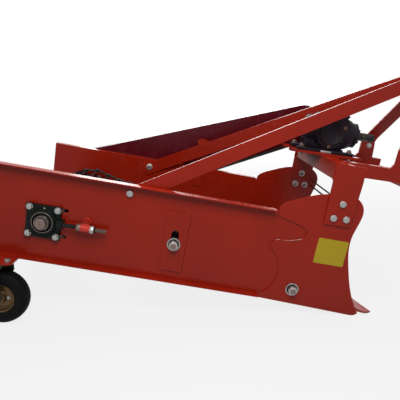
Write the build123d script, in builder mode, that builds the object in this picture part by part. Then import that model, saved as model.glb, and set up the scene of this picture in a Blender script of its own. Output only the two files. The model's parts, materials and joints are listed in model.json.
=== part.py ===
"""Single-row potato digger for a three-point linkage.

Millimetres. +X points forward to the tractor, +Y to the machine's left,
Z is up with the ground at 0. The machine stands parked on its two rear
wheels and on the front corners of its cheek plates.
"""
import os
from math import atan2, cos, degrees, hypot, pi, radians, sin, sqrt

from build123d import *

os.makedirs("parts", exist_ok=True)

# ---------------------------------------------------------------- driving dimensions
HALF_WIDTH = 300.0        # outer face of a side plate from the centre plane
SHEET = 4.0               # side plate sheet
FLANGE = 30.0             # side plate flange, turned outwards
PLATE_HEIGHT = 344.5      # side plate, square to its own edges
SLOPE = 10.0              # side plates fall this much towards the front
DATUM_X, DATUM_Z = -83.0, 127.0      # datum of the side plates on their bottom line
PLATE_REAR, PLATE_FRONT = -785.0, 465.0
FLANGE_FRONT = 222.0

CHEEK_T = 6.0             # cheek plates
LEG_T = 8.0               # leg plates

HEAD_X, HEAD_Z = 406.0, 595.0        # top rear edge of the main cross beam
HEAD_SLOPE = 8.5
BEAM = 60.0               # main cross beam, square tube
BEAM_WALL = 5.0
RAIL_W, RAIL_H = 40.0, 51.0
RAIL_Y = 185.0            # rail centre from the centre plane
RAIL_END = 363.0
CROSS = 45.0              # front cross tube, set against the rails' front ends
CROSS_DROP = 37.0         # its top face below the top of the rails
CROSS_HALF = 300.0
CROSS_WALL = 5.0

WEB_PITCH = 55.0          # rods of the elevator web
ROD_R = 5.5               # corner radius of the six-sided rod stock
ROD_SIDES = 6
ROD_HALF = HALF_WIDTH - 38.0         # the rods' straight stretch ends clear of the plates
HOOK_OUT = 9.0            # from the rod's end out to the bend of its hook
HOOK_STEP = 18.5          # a hook seats this far inside the next rod's bend
HOOK_FIT = 0.3

DRIVE_X, DRIVE_Z, DRIVE_R = -656.0, 382.0, 100.0
CARRIER_X, CARRIER_Z, CARRIER_R = -181.0, 293.0, 30.0
NOSE_X, NOSE_Z, NOSE_R = 268.0, 110.0, 40.0
ROLLER_HALF = ROD_HALF - 22.0        # rollers end inside the web's hooks
CARRIER_OUT, NOSE_OUT, DRIVE_OUT = 22.0, 18.0, 45.0      # shaft ends beyond the side plates
SHAFT_R = 20.0
BEARING_BOLTS = 102.0     # bolt spacing of the square flange bearings
BEARING_SIDE = 124.0
BEARING_T = 12.0          # flange
BEARING_CONE = 12.0       # housing above the flange
BEARING_BORE = 38.0       # bore of the housing round the insert
COLLAR_R, COLLAR_END = 26.0, 34.0    # inner ring of the insert, its end above the plate

GEAR_U, GEAR_V = 43.0, 92.0          # gearbox centre in the head frame
GEAR_R = 82.0             # main case, round the cross shaft
GEAR_HALF = 62.0
GEAR_COVER_R, GEAR_COVER_T = 56.0, 12.0
CROSS_SHAFT_R = 15.0
CASE_NOSE = 104.0         # end of the case's nose from the cross shaft
SEAL_END = 126.0          # end of the seal housing
PTO_R = 17.5
PTO_SEAT_R = 20.0         # input shaft inside the case
PTO_END = 231.0
PTO_CHAMFER = 2.5
BEARER_T = 10.0
BEARER_Y, BEARER_W = 75.0, 44.0

CHAIN_Y = HALF_WIDTH + 52.0          # the chain's middle, clear of the left bearing
SPROCKET_FRONT, SPROCKET_REAR = 62.0, 125.0
CHAIN_H, CHAIN_W = 14.0, 16.0
COVER_GAP = 44.0          # from the chain's back to the cover
COVER_IN, COVER_OUT, COVER_T = CHAIN_Y - 20.0, CHAIN_Y + 38.0, 3.0
COVER_BACK = 35.0         # the cover's round front lies this far behind the front sprocket

PIN_R = 11.0              # lower link pins, category 1
PIN_COLLAR_R = 20.0
PIN_SHOULDER = 341.5
PIN_END = 386.0
TOP_X, TOP_Z = 887.0, 937.0          # top link hole
TOP_HOLE_R = 9.75
TOP_GAP = 24.0            # half the gap of the top link clevis
BAR_T = 10.0              # mast arm flat bar
ARM_W = 58.0
POST_U = 290.0            # foot of the mast arm along the head frame
BRACE_W, BRACE_T = 55.0, 8.0         # flat bars from the mast to the side plates
BRACE_X, BRACE_Z = -334.0, 478.0
BRACE_DROP = 32.0         # brace end below the top link hole

WHEEL_R, WHEEL_W, RIM_R = 104.0, 56.0, 57.0
WHEEL_Y = HALF_WIDTH + 45.0
WHEEL_U = -725.0          # axle along the side plate
WHEEL_AXLE_R = 8.0
FORK_T = 5.0
FORK_GAP = 6.0
NUT_T = 8.0
BRACKET_T = 6.0
SCREW_R = 8.0             # tension screw
SCREW_OUT = 25.0          # its axis from the side plate
SCREW_W = 5.0             # its axis above the drive shaft's, square to the plate's edge
SLEEVE_R, SLEEVE_LONG = 14.0, 33.0
SLEEVE_AT = 157.0         # middle of the sleeve from the drive shaft
FIT = 0.05                # running clearance on radius

# ---------------------------------------------------------------- frames
CS, SN = cos(radians(SLOPE)), sin(radians(SLOPE))
CH, SH = cos(radians(HEAD_SLOPE)), sin(radians(HEAD_SLOPE))


def side_plane(y):
    """Sketch plane along a side plate: x runs down its length, normal to the right."""
    return Plane(origin=(DATUM_X, y, DATUM_Z), x_dir=(CS, 0, -SN), z_dir=(0, -1, 0))


def side_point(u, w):
    return DATUM_X + u * CS + w * SN, DATUM_Z - u * SN + w * CS


def head_plane(y):
    """Sketch plane along the head frame, normal to the right."""
    return Plane(origin=(HEAD_X, y, HEAD_Z), x_dir=(CH, 0, -SH), z_dir=(0, -1, 0))


def head_point(u, v):
    return HEAD_X + u * CH + v * SH, HEAD_Z - u * SH + v * CH


def upright(y):
    """Sketch plane whose coordinates are X and Z, normal to the right."""
    return Plane(origin=(0, y, 0), x_dir=(1, 0, 0), z_dir=(0, -1, 0))


def hull_path(circles):
    """Lines and arcs of a belt round circles (x, z, r) given counter-clockwise."""
    count = len(circles)
    normals, lines = [], []
    for i in range(count):
        x1, z1, r1 = circles[i]
        x2, z2, r2 = circles[(i + 1) % count]
        length = hypot(x2 - x1, z2 - z1)
        dx, dz = (x2 - x1) / length, (z2 - z1) / length
        k = (r1 - r2) / length
        q = sqrt(1 - k * k)
        nx, nz = k * dx + q * dz, k * dz - q * dx
        normals.append(atan2(nz, nx))
        lines.append(((x1 + r1 * nx, z1 + r1 * nz), (x2 + r2 * nx, z2 + r2 * nz)))
    path = []
    for i in range(count):
        x, z, r = circles[i]
        start, end = normals[i - 1], normals[i]
        while end < start:
            end += 2 * pi
        path.append(("arc", (x, z, r), start, end, r * (end - start)))
        a, b = lines[i]
        path.append(("line", a, b, 0, hypot(b[0] - a[0], b[1] - a[1])))
    return path


def along(path, s):
    """Point and direction (degrees) at distance s round the path."""
    for kind, a, b, c, length in path:
        if s <= length:
            t = s / length
            if kind == "arc":
                angle = b + (c - b) * t
                x, z, r = a
                return x + r * cos(angle), z + r * sin(angle), degrees(angle) + 90
            heading = degrees(atan2(b[1] - a[1], b[0] - a[0]))
            return a[0] + (b[0] - a[0]) * t, a[1] + (b[1] - a[1]) * t, heading
        s -= length
    kind, a, b, c, length = path[-1]
    return b[0], b[1], 0.0


def save(part, name):
    part.label = name
    export_step(part, "parts/" + name + ".step")


# ---------------------------------------------------------------- derived places
PLATE_IN = HALF_WIDTH - SHEET
CHEEK_OUT = HALF_WIDTH + CHEEK_T
DRIVE_U = (DRIVE_X - DATUM_X) * CS - (DRIVE_Z - DATUM_Z) * SN
DRIVE_W = (DRIVE_X - DATUM_X) * SN + (DRIVE_Z - DATUM_Z) * CS
CARRIER_U = (CARRIER_X - DATUM_X) * CS - (CARRIER_Z - DATUM_Z) * SN
CARRIER_W = (CARRIER_X - DATUM_X) * SN + (CARRIER_Z - DATUM_Z) * CS
NOSE_U = (NOSE_X - DATUM_X) * CS - (NOSE_Z - DATUM_Z) * SN
NOSE_W = (NOSE_X - DATUM_X) * SN + (NOSE_Z - DATUM_Z) * CS
GEAR_X, GEAR_Z = head_point(GEAR_U, GEAR_V)
WHEEL_W0 = (WHEEL_R - DATUM_Z + WHEEL_U * SN) / CS      # the tyre stands on the ground
WHEEL_X, WHEEL_Z = side_point(WHEEL_U, WHEEL_W0)
AXLE_R = 12.0
SLEEVE_U, SCREW_AXIS_W = DRIVE_U + SLEEVE_AT, DRIVE_W + SCREW_W
CROSS_U, CROSS_V = RAIL_END + CROSS / 2, -CROSS_DROP - CROSS / 2

# ---------------------------------------------------------------- side plates
with BuildPart() as side_plate_right:
    with BuildSketch(side_plane(-PLATE_IN)):
        with BuildLine():
            Polyline(
                (PLATE_REAR, 0), (PLATE_FRONT - 13, 0), (PLATE_FRONT, 20),
                (PLATE_FRONT, PLATE_HEIGHT - 68), (PLATE_FRONT - 8, PLATE_HEIGHT - 42),
                (PLATE_FRONT - 28, PLATE_HEIGHT - 30), (FLANGE_FRONT + 20, PLATE_HEIGHT - 9.5),
                (FLANGE_FRONT, PLATE_HEIGHT), (PLATE_REAR, PLATE_HEIGHT), close=True)
        make_face()
        # slots for the tensioning of the drive shaft
        with Locations((DRIVE_U, DRIVE_W)):
            SlotCenterToCenter(40, 2 * SHAFT_R + 16, mode=Mode.SUBTRACT)
        with Locations((NOSE_U, NOSE_W)):
            Circle(AXLE_R + FIT, mode=Mode.SUBTRACT)
        with Locations((CARRIER_U, CARRIER_W + 18)):
            SlotCenterToCenter(44, 27, rotation=90, mode=Mode.SUBTRACT)
        for side in (-1, 1):
            with Locations((DRIVE_U + 16, DRIVE_W + side * BEARING_BOLTS / 2)):
                SlotCenterToCenter(BEARING_BOLTS + 24, 14, mode=Mode.SUBTRACT)
    extrude(amount=SHEET)
    with BuildSketch(side_plane(-HALF_WIDTH)):
        for low in (0, PLATE_HEIGHT - SHEET):
            with Locations(((PLATE_REAR + FLANGE_FRONT) / 2, low + SHEET / 2)):
                Rectangle(FLANGE_FRONT - PLATE_REAR, SHEET)
    extrude(amount=FLANGE)
    # doubler plate round the carrier roller's slot
    with BuildSketch(side_plane(-HALF_WIDTH)):
        with Locations((CARRIER_U + 3, 155)):
            Rectangle(83, 234)
        with Locations((CARRIER_U, CARRIER_W + 18)):
            SlotCenterToCenter(44, 27, rotation=90, mode=Mode.SUBTRACT)
    extrude(amount=5)
    # sleeve of the tension screw on its round stub
    with BuildSketch(side_plane(-HALF_WIDTH)):
        with Locations((SLEEVE_U, SCREW_AXIS_W)):
            Rectangle(SLEEVE_LONG - 8, SLEEVE_R)
        with Locations((SLEEVE_U, SCREW_AXIS_W + SLEEVE_R + 3)):
            Circle(SLEEVE_R)
    extrude(amount=SCREW_OUT)
    sleeve_x, sleeve_z = side_point(SLEEVE_U - SLEEVE_LONG / 2, SCREW_AXIS_W)
    with BuildSketch(Plane(origin=(sleeve_x, -HALF_WIDTH - SCREW_OUT, sleeve_z),
                           x_dir=(0, 1, 0), z_dir=(CS, 0, -SN))):
        Circle(SLEEVE_R)
    extrude(amount=SLEEVE_LONG)
    with BuildSketch(Plane(origin=(sleeve_x, -HALF_WIDTH - SCREW_OUT, sleeve_z),
                           x_dir=(0, 1, 0), z_dir=(CS, 0, -SN))):
        Circle(SCREW_R + FIT)
    extrude(amount=SLEEVE_LONG, mode=Mode.SUBTRACT)
save(side_plate_right.part, "side_plate_right")

with BuildPart() as side_plate_left:
    mirror(side_plate_right.part, about=Plane.XZ)
save(side_plate_left.part, "side_plate_left")

# ---------------------------------------------------------------- cheek plates
# points on the curved stretches of the cheek plate's outline
CHEEK_BULGE = [(230, 8), (270, 54), (281, 101), (264, 160), (227, 201)]
CHEEK_TONGUE = [(227, 201), (242, 225), (339, 246), (353, 272), (303, 305), (238, 323)]
CHEEK_CREST = [(238, 323), (233, 350), (290, 393), (367, 424), (500, 435)]
CHEEK_FRONT = [(500, 435), (535, 397), (521, 292), (538, 170), (583, 50), (622, -12)]
with BuildPart() as cheek_plate_right:
    with BuildSketch(side_plane(-HALF_WIDTH)):
        with BuildLine():
            Line((230, -10), CHEEK_BULGE[0])
            for curve in (CHEEK_BULGE, CHEEK_TONGUE, CHEEK_CREST, CHEEK_FRONT):
                Spline(*curve)
            Polyline(CHEEK_FRONT[-1], (608, -21.7), (595, -24), (230, -10))
        make_face()
        with Locations((NOSE_U, NOSE_W)):
            Circle(AXLE_R + FIT, mode=Mode.SUBTRACT)
    extrude(amount=CHEEK_T)
save(cheek_plate_right.part, "cheek_plate_right")

with BuildPart() as cheek_plate_left:
    mirror(cheek_plate_right.part, about=Plane.XZ)
save(cheek_plate_left.part, "cheek_plate_left")

# ---------------------------------------------------------------- share
RAMP_TOP = (337.0, 148.0)
RAMP_FOOT = (523.0, 27.0)
RAMP_T = 8.0
SHARE_BAR = 50.0
RAMP_ANGLE = atan2(RAMP_TOP[1] - RAMP_FOOT[1], RAMP_FOOT[0] - RAMP_TOP[0])
RAMP_N = (-sin(RAMP_ANGLE) * RAMP_T, -cos(RAMP_ANGLE) * RAMP_T)     # down through the ramp
TIP = 584.0
VALLEY = 524.0
with BuildPart() as share_ramp:
    with BuildSketch(upright(-PLATE_IN)):
        with BuildLine():
            Polyline(RAMP_TOP, (RAMP_TOP[0] + RAMP_N[0], RAMP_TOP[1] + RAMP_N[1]),
                     (RAMP_FOOT[0] + RAMP_N[0], RAMP_FOOT[1] + RAMP_N[1]), RAMP_FOOT, close=True)
        make_face()
    extrude(amount=-2 * PLATE_IN)
save(share_ramp.part, "share_ramp")

with BuildPart() as share_blade:
    with BuildSketch(upright(-HALF_WIDTH)):
        with BuildLine():
            Polyline((RAMP_FOOT[0] + RAMP_N[0], RAMP_FOOT[1] + RAMP_N[1]), RAMP_FOOT,
                     (TIP - 32, 14), (TIP + 20, 6), (TIP + 20, 2), (TIP - 32, 6),
                     (RAMP_FOOT[0] + 1.7 * RAMP_N[0], RAMP_FOOT[1] + 1.7 * RAMP_N[1]), close=True)
        make_face()
    extrude(amount=-2 * HALF_WIDTH)
    with BuildSketch(Plane.XY.offset(-10)):
        edge = HALF_WIDTH - 10
        with BuildLine():
            Polyline((VALLEY - 60, -HALF_WIDTH), (TIP - 20, -HALF_WIDTH), (TIP, -edge),
                     (VALLEY, -edge / 2), (TIP, 0), (VALLEY, edge / 2), (TIP, edge),
                     (TIP - 20, HALF_WIDTH), (VALLEY - 60, HALF_WIDTH), close=True)
        make_face()
    extrude(amount=80, mode=Mode.INTERSECT)
save(share_blade.part, "share_blade")

with BuildPart() as share_crossbar:
    depth = 1 + SHARE_BAR / 2 / RAMP_T
    bar_x = 0.53 * RAMP_FOOT[0] + 0.47 * RAMP_TOP[0] + RAMP_N[0] * depth
    bar_z = 0.53 * RAMP_FOOT[1] + 0.47 * RAMP_TOP[1] + RAMP_N[1] * depth
    with BuildSketch(upright(-HALF_WIDTH)):
        with Locations((bar_x, bar_z)):
            Rectangle(SHARE_BAR, SHARE_BAR, rotation=-degrees(RAMP_ANGLE))
            Rectangle(SHARE_BAR - 10, SHARE_BAR - 10, rotation=-degrees(RAMP_ANGLE),
                      mode=Mode.SUBTRACT)
    extrude(amount=-2 * HALF_WIDTH)
save(share_crossbar.part, "share_crossbar")

for name, x, z in (("guard_rod_upper", 495.0, 405.0), ("guard_rod_lower", 487.0, 382.0)):
    with BuildPart() as rod:
        with BuildSketch(upright(-HALF_WIDTH)):
            with Locations((x, z)):
                Circle(4)
        extrude(amount=-2 * HALF_WIDTH)
    save(rod.part, name)

# ---------------------------------------------------------------- head frame
with BuildPart() as cross_beam:
    with BuildSketch(head_plane(-CHEEK_OUT)):
        with Locations((BEAM / 2, -BEAM / 2)):
            Rectangle(BEAM, BEAM)
            Rectangle(BEAM - 2 * BEAM_WALL, BEAM - 2 * BEAM_WALL, mode=Mode.SUBTRACT)
    extrude(amount=-2 * CHEEK_OUT)
save(cross_beam.part, "cross_beam")

with BuildPart() as leg_right:
    with BuildSketch(head_plane(-CHEEK_OUT)):
        with BuildLine():
            Polyline((-5, 0), (102, 0), (102, -60), (93, -224), (-5, -224), close=True)
        make_face()
    extrude(amount=LEG_T)
save(leg_right.part, "leg_right")

with BuildPart() as leg_left:
    mirror(leg_right.part, about=Plane.XZ)
save(leg_left.part, "leg_left")

for name, side in (("rail_right", -1), ("rail_left", 1)):
    with BuildPart() as rail:
        with BuildSketch(head_plane(side * RAIL_Y + RAIL_W / 2)):
            with Locations(((BEAM + RAIL_END) / 2, -RAIL_H / 2)):
                Rectangle(RAIL_END - BEAM, RAIL_H)
        extrude(amount=RAIL_W)
        with BuildSketch(head_plane(side * RAIL_Y + RAIL_W / 2 - 4)):
            with Locations(((BEAM + RAIL_END) / 2 - 2, -RAIL_H / 2)):
                Rectangle(RAIL_END - BEAM - 4, RAIL_H - 8)
        extrude(amount=RAIL_W - 8, mode=Mode.SUBTRACT)
    save(rail.part, name)

with BuildPart() as front_cross_tube:
    with BuildSketch(head_plane(-CROSS_HALF)):
        with Locations((CROSS_U, CROSS_V)):
            Rectangle(CROSS, CROSS)
    extrude(amount=-2 * CROSS_HALF)
    # hollow between its two end plates
    with BuildSketch(head_plane(-CROSS_HALF + CROSS_WALL)):
        with Locations((CROSS_U, CROSS_V)):
            Rectangle(CROSS - 2 * CROSS_WALL, CROSS - 2 * CROSS_WALL)
    extrude(amount=-2 * (CROSS_HALF - CROSS_WALL), mode=Mode.SUBTRACT)
save(front_cross_tube.part, "front_cross_tube")

for name, side in (("lower_link_pin_right", -1), ("lower_link_pin_left", 1)):
    with BuildPart() as pin:
        with BuildSketch(head_plane(side * CROSS_HALF)):
            with Locations((CROSS_U, CROSS_V)):
                Circle(PIN_COLLAR_R)
        extrude(amount=-side * (PIN_SHOULDER - CROSS_HALF))
        with BuildSketch(head_plane(side * PIN_SHOULDER)):
            with Locations((CROSS_U, CROSS_V)):
                Circle(PIN_R)
        extrude(amount=-side * (PIN_END - PIN_SHOULDER))
    save(pin.part, name)

# ---------------------------------------------------------------- mast
ARM_IN = TOP_GAP + BAR_T                 # arm inner face at the mast top
ARM_FLAT = 92.0                          # the arm's upright top reaches this far down
POST_TOP_X, POST_TOP_Z = head_point(POST_U + 4, 84)
lean = atan2(TOP_Z - POST_TOP_Z, TOP_X - POST_TOP_X)
nx, nz = -sin(lean) * ARM_W / 2, cos(lean) * ARM_W / 2
with BuildPart() as mast_arm_right:
    # side view of the bent flat bar
    with BuildSketch(upright(0)):
        with BuildLine():
            Polyline(head_point(POST_U - 44, 0), head_point(POST_U - 32, 18),
                     head_point(POST_U - 30, 70), (POST_TOP_X + nx, POST_TOP_Z + nz),
                     (TOP_X + nx, TOP_Z + nz), (TOP_X + 12, TOP_Z + 30), (TOP_X + 32, TOP_Z + 8),
                     (TOP_X - nx, TOP_Z - nz), (POST_TOP_X - nx, POST_TOP_Z - nz),
                     head_point(POST_U + 34, 40), head_point(POST_U + 36, 0), close=True)
        make_face()
    extrude(amount=RAIL_Y + 20)
    # front view: upright foot, inclined middle, upright top
    with BuildSketch(Plane(origin=(0, 0, 0), x_dir=(0, 1, 0), z_dir=(1, 0, 0))):
        with BuildLine():
            Polyline((-RAIL_Y - BAR_T / 2, 400), (-RAIL_Y + BAR_T / 2, 400),
                     (-RAIL_Y + BAR_T / 2, POST_TOP_Z), (-ARM_IN, TOP_Z - ARM_FLAT),
                     (-ARM_IN, TOP_Z + 80), (-ARM_IN - BAR_T, TOP_Z + 80),
                     (-ARM_IN - BAR_T, TOP_Z - ARM_FLAT),
                     (-RAIL_Y - BAR_T / 2, POST_TOP_Z + 2), close=True)
        make_face()
    extrude(amount=1200, mode=Mode.INTERSECT)
    with BuildSketch(upright(0)):
        with Locations((TOP_X, TOP_Z)):
            Circle(TOP_HOLE_R)
    extrude(amount=RAIL_Y, mode=Mode.SUBTRACT)
save(mast_arm_right.part, "mast_arm_right")

with BuildPart() as mast_arm_left:
    mirror(mast_arm_right.part, about=Plane.XZ)
save(mast_arm_left.part, "mast_arm_left")

with BuildPart() as top_link_clevis:
    with BuildSketch(upright(ARM_IN)):
        with BuildLine():
            Polyline((TOP_X - 95, TOP_Z - 60), (TOP_X - 20, TOP_Z - 34), (TOP_X + 26, TOP_Z - 30),
                     (TOP_X + 40, TOP_Z), (TOP_X + 28, TOP_Z + 30), (TOP_X - 10, TOP_Z + 36),
                     (TOP_X - 95, TOP_Z - 4), close=True)
        make_face()
        with Locations((TOP_X, TOP_Z)):
            Circle(TOP_HOLE_R, mode=Mode.SUBTRACT)
    extrude(amount=2 * ARM_IN)
    with BuildSketch(upright(TOP_GAP)):
        with Locations((TOP_X + 22, TOP_Z)):
            Rectangle(150, 200)
    extrude(amount=2 * TOP_GAP, mode=Mode.SUBTRACT)
save(top_link_clevis.part, "top_link_clevis")

# ---------------------------------------------------------------- braces
BRACE_TOP_X, BRACE_TOP_Z = TOP_X - 50, TOP_Z - BRACE_DROP
BRACE_IN = ARM_IN + BAR_T                # outer face of the arm
BRACE_LAP = 45.0                         # flat ends against the plate and the arm
rise = atan2(BRACE_TOP_Z - BRACE_Z, BRACE_TOP_X - BRACE_X)
run = hypot(BRACE_TOP_Z - BRACE_Z, BRACE_TOP_X - BRACE_X)
brace_frame = Plane(origin=(BRACE_X, 0, BRACE_Z), x_dir=(cos(rise), 0, sin(rise)), z_dir=(0, -1, 0))
with BuildPart() as brace_right:
    # plan of the bar: flat on the side plate, across to the mast, flat on the arm
    with BuildSketch(Plane.XY):
        with BuildLine():
            Polyline((BRACE_X - BRACE_LAP, -PLATE_IN), (BRACE_X + BRACE_LAP, -PLATE_IN),
                     (BRACE_TOP_X - BRACE_LAP, -BRACE_IN - BRACE_T),
                     (BRACE_TOP_X + BRACE_LAP, -BRACE_IN - BRACE_T),
                     (BRACE_TOP_X + BRACE_LAP, -BRACE_IN), (BRACE_TOP_X - BRACE_LAP, -BRACE_IN),
                     (BRACE_X + BRACE_LAP, -PLATE_IN + BRACE_T),
                     (BRACE_X - BRACE_LAP, -PLATE_IN + BRACE_T), close=True)
        make_face()
    extrude(amount=TOP_Z + 200)
    with BuildSketch(brace_frame):
        with Locations((run / 2, 0)):
            RectangleRounded(run + 56, BRACE_W, 10)
    extrude(amount=HALF_WIDTH, mode=Mode.INTERSECT)
save(brace_right.part, "brace_right")

# the left bar carries a small drilled lug on its top edge
LUG_U, LUG_SIDE, LUG_H = 290.0, 34.0, 22.0
with BuildPart() as brace_left:
    mirror(brace_right.part, about=Plane.XZ)
    lug_y = PLATE_IN - BRACE_T - (LUG_U * cos(rise) - BRACE_LAP) * (
        (PLATE_IN - BRACE_T - BRACE_IN) / (BRACE_TOP_X - BRACE_X - 2 * BRACE_LAP))
    lug_plane = Plane(origin=(BRACE_X, lug_y, BRACE_Z), x_dir=(cos(rise), 0, sin(rise)), z_dir=(0, -1, 0))
    with BuildSketch(lug_plane):
        with Locations((LUG_U, BRACE_W / 2 + LUG_H / 2 - 5)):
            Rectangle(LUG_SIDE, LUG_H + 10)
        with Locations((LUG_U, BRACE_W / 2 + LUG_H / 2)):
            Circle(4.5, mode=Mode.SUBTRACT)
    extrude(amount=-6)
save(brace_left.part, "brace_left")

# ---------------------------------------------------------------- gearbox
for name, side in (("gearbox_bearer_right", -1), ("gearbox_bearer_left", 1)):
    with BuildPart() as bearer:
        with BuildSketch(head_plane(side * BEARER_Y + BEARER_W / 2)):
            with Locations((20, BEARER_T / 2)):
                Rectangle(290, BEARER_T)
        extrude(amount=BEARER_W)
    save(bearer.part, name)

FOOT_T = 12.0
FOOT_IN, FOOT_OUT = 52.0, 85.0           # foot bars, either side of the case
gear_axis = Plane(origin=(GEAR_X, 0, GEAR_Z), x_dir=(0, 1, 0), z_dir=(CH, 0, -SH))
with BuildPart() as gearbox:
    # main case round the cross shaft, with its rounded edges
    with BuildSketch(head_plane(GEAR_HALF)):
        with Locations((GEAR_U, GEAR_V)):
            Circle(GEAR_R)
    extrude(amount=2 * GEAR_HALF)
    chamfer(gearbox.edges().filter_by(GeomType.CIRCLE), 10)
    # bolted cover and bearing cap on each side
    for radius, reach in ((GEAR_COVER_R, GEAR_COVER_T - 5), (GEAR_COVER_R - 14, GEAR_COVER_T)):
        with BuildSketch(head_plane(GEAR_HALF + reach)):
            with Locations((GEAR_U, GEAR_V)):
                Circle(radius)
        extrude(amount=2 * (GEAR_HALF + reach))
    # ribs over the top of the case
    for y in (-34, 0, 34):
        with BuildSketch(head_plane(y + 4)):
            with Locations((GEAR_U, GEAR_V)):
                Circle(GEAR_R + 5)
        extrude(amount=8)
    # front flange with flats for its bolts, nose and seal housing
    with BuildSketch(gear_axis.offset(62)):
        RegularPolygon(68, 8, rotation=22.5)
    extrude(amount=14)
    with BuildSketch(gear_axis.offset(76)):
        Circle(56)
    extrude(amount=CASE_NOSE - 76, taper=14)
    with BuildSketch(gear_axis.offset(CASE_NOSE)):
        Circle(34)
    extrude(amount=SEAL_END - CASE_NOSE, taper=8)
    # rear housing along the input axis, with its rim
    with BuildSketch(gear_axis.offset(-108)):
        Circle(62)
    extrude(amount=60)
    with BuildSketch(gear_axis.offset(-72)):
        Circle(70)
    extrude(amount=12)
    # a foot bar on each side with its web up to the case
    for low in (FOOT_IN, -FOOT_OUT):
        with BuildSketch(head_plane(low + FOOT_OUT - FOOT_IN)):
            with BuildLine():
                Polyline((-96, BEARER_T), (-10, BEARER_T), (0, BEARER_T + 6), (60, BEARER_T + 6),
                         (70, BEARER_T), (134, BEARER_T), (134, BEARER_T + FOOT_T - 3),
                         (96, BEARER_T + FOOT_T + 4), (82, 58), (2, 58),
                         (-12, BEARER_T + FOOT_T + 2), (-96, BEARER_T + FOOT_T), close=True)
            make_face()
        extrude(amount=FOOT_OUT - FOOT_IN)
    # bores of the input shaft and of the cross shaft
    with BuildSketch(gear_axis.offset(60)):
        Circle(PTO_SEAT_R + FIT)
    extrude(amount=SEAL_END, mode=Mode.SUBTRACT)
    with BuildSketch(head_plane(FOOT_OUT)):
        with Locations((GEAR_U, GEAR_V)):
            Circle(CROSS_SHAFT_R)
    extrude(amount=FOOT_OUT - GEAR_HALF + 30, mode=Mode.SUBTRACT)
save(gearbox.part, "gearbox")

with BuildPart() as input_shaft:
    with BuildSketch(gear_axis.offset(60)):
        Circle(PTO_SEAT_R)
    extrude(amount=SEAL_END - 60)
    with BuildSketch(gear_axis.offset(SEAL_END)):
        Circle(PTO_R)
    extrude(amount=PTO_END - GEAR_U - SEAL_END)
    chamfer(input_shaft.faces().sort_by(Axis.X)[-1].edges(), PTO_CHAMFER)
save(input_shaft.part, "input_shaft")

with BuildPart() as output_tube:
    with BuildSketch(head_plane(HALF_WIDTH)):
        with Locations((GEAR_U, GEAR_V)):
            Circle(28)
            Circle(CROSS_SHAFT_R + FIT, mode=Mode.SUBTRACT)
    extrude(amount=HALF_WIDTH - GEAR_HALF - GEAR_COVER_T)
save(output_tube.part, "output_tube")

with BuildPart() as output_shaft:
    with BuildSketch(head_plane(CHAIN_Y + 12)):
        with Locations((GEAR_U, GEAR_V)):
            Circle(CROSS_SHAFT_R)
    extrude(amount=CHAIN_Y + 12 - GEAR_HALF + 30)
save(output_shaft.part, "output_shaft")

# ---------------------------------------------------------------- chain drive
for name, x, z, r, bore in (("sprocket_front", GEAR_X, GEAR_Z, SPROCKET_FRONT, CROSS_SHAFT_R),
                            ("sprocket_rear", DRIVE_X, DRIVE_Z, SPROCKET_REAR, SHAFT_R)):
    with BuildPart() as sprocket:
        with BuildSketch(upright(CHAIN_Y + 5)):
            with Locations((x, z)):
                Circle(r - CHAIN_H / 2 - 0.2)
                Circle(bore + FIT, mode=Mode.SUBTRACT)
        extrude(amount=10)
        with BuildSketch(upright(CHAIN_Y + 11)):
            with Locations((x, z)):
                Circle(bore + 15)
                Circle(bore + FIT, mode=Mode.SUBTRACT)
        extrude(amount=22)
    save(sprocket.part, name)

with BuildPart() as drive_chain:
    with BuildSketch(upright(CHAIN_Y + CHAIN_W / 2)):
        with Locations((GEAR_X, GEAR_Z)):
            Circle(SPROCKET_FRONT + CHAIN_H / 2)
        with Locations((DRIVE_X, DRIVE_Z)):
            Circle(SPROCKET_REAR + CHAIN_H / 2)
        make_hull()
    extrude(amount=CHAIN_W)
    with BuildSketch(upright(CHAIN_Y + CHAIN_W / 2)):
        with Locations((GEAR_X, GEAR_Z)):
            Circle(SPROCKET_FRONT - CHAIN_H / 2)
        with Locations((DRIVE_X, DRIVE_Z)):
            Circle(SPROCKET_REAR - CHAIN_H / 2)
        make_hull()
    extrude(amount=CHAIN_W, mode=Mode.SUBTRACT)
save(drive_chain.part, "drive_chain")

# chain cover: full outer wall, top, and an inner wall over the upper run only
R1 = SPROCKET_FRONT + CHAIN_H / 2 + COVER_GAP
R2 = SPROCKET_REAR + CHAIN_H / 2 + COVER_GAP
cover_lean = atan2(GEAR_Z - DRIVE_Z, GEAR_X - DRIVE_X)
COVER_X, COVER_Z = GEAR_X - COVER_BACK * cos(cover_lean), GEAR_Z - COVER_BACK * sin(cover_lean)
with BuildPart() as cover_body:
    with BuildSketch(upright(COVER_OUT)):
        with Locations((COVER_X, COVER_Z)):
            Circle(R1)
        with Locations((DRIVE_X, DRIVE_Z)):
            Circle(R2)
        make_hull()
    extrude(amount=COVER_OUT - COVER_IN)
    with BuildSketch(upright(COVER_OUT - COVER_T)):
        with Locations((COVER_X, COVER_Z)):
            Circle(R1 - COVER_T)
        with Locations((DRIVE_X, DRIVE_Z)):
            Circle(R2 - COVER_T)
        make_hull()
    extrude(amount=COVER_OUT - COVER_IN - 2 * COVER_T, mode=Mode.SUBTRACT)
low = hull_path([(DRIVE_X, DRIVE_Z, SPROCKET_REAR + CHAIN_H / 2 + 8),
                 (GEAR_X, GEAR_Z, SPROCKET_FRONT + CHAIN_H / 2 + 8)])
low_rear, low_front = low[1][1], low[1][2]
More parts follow.
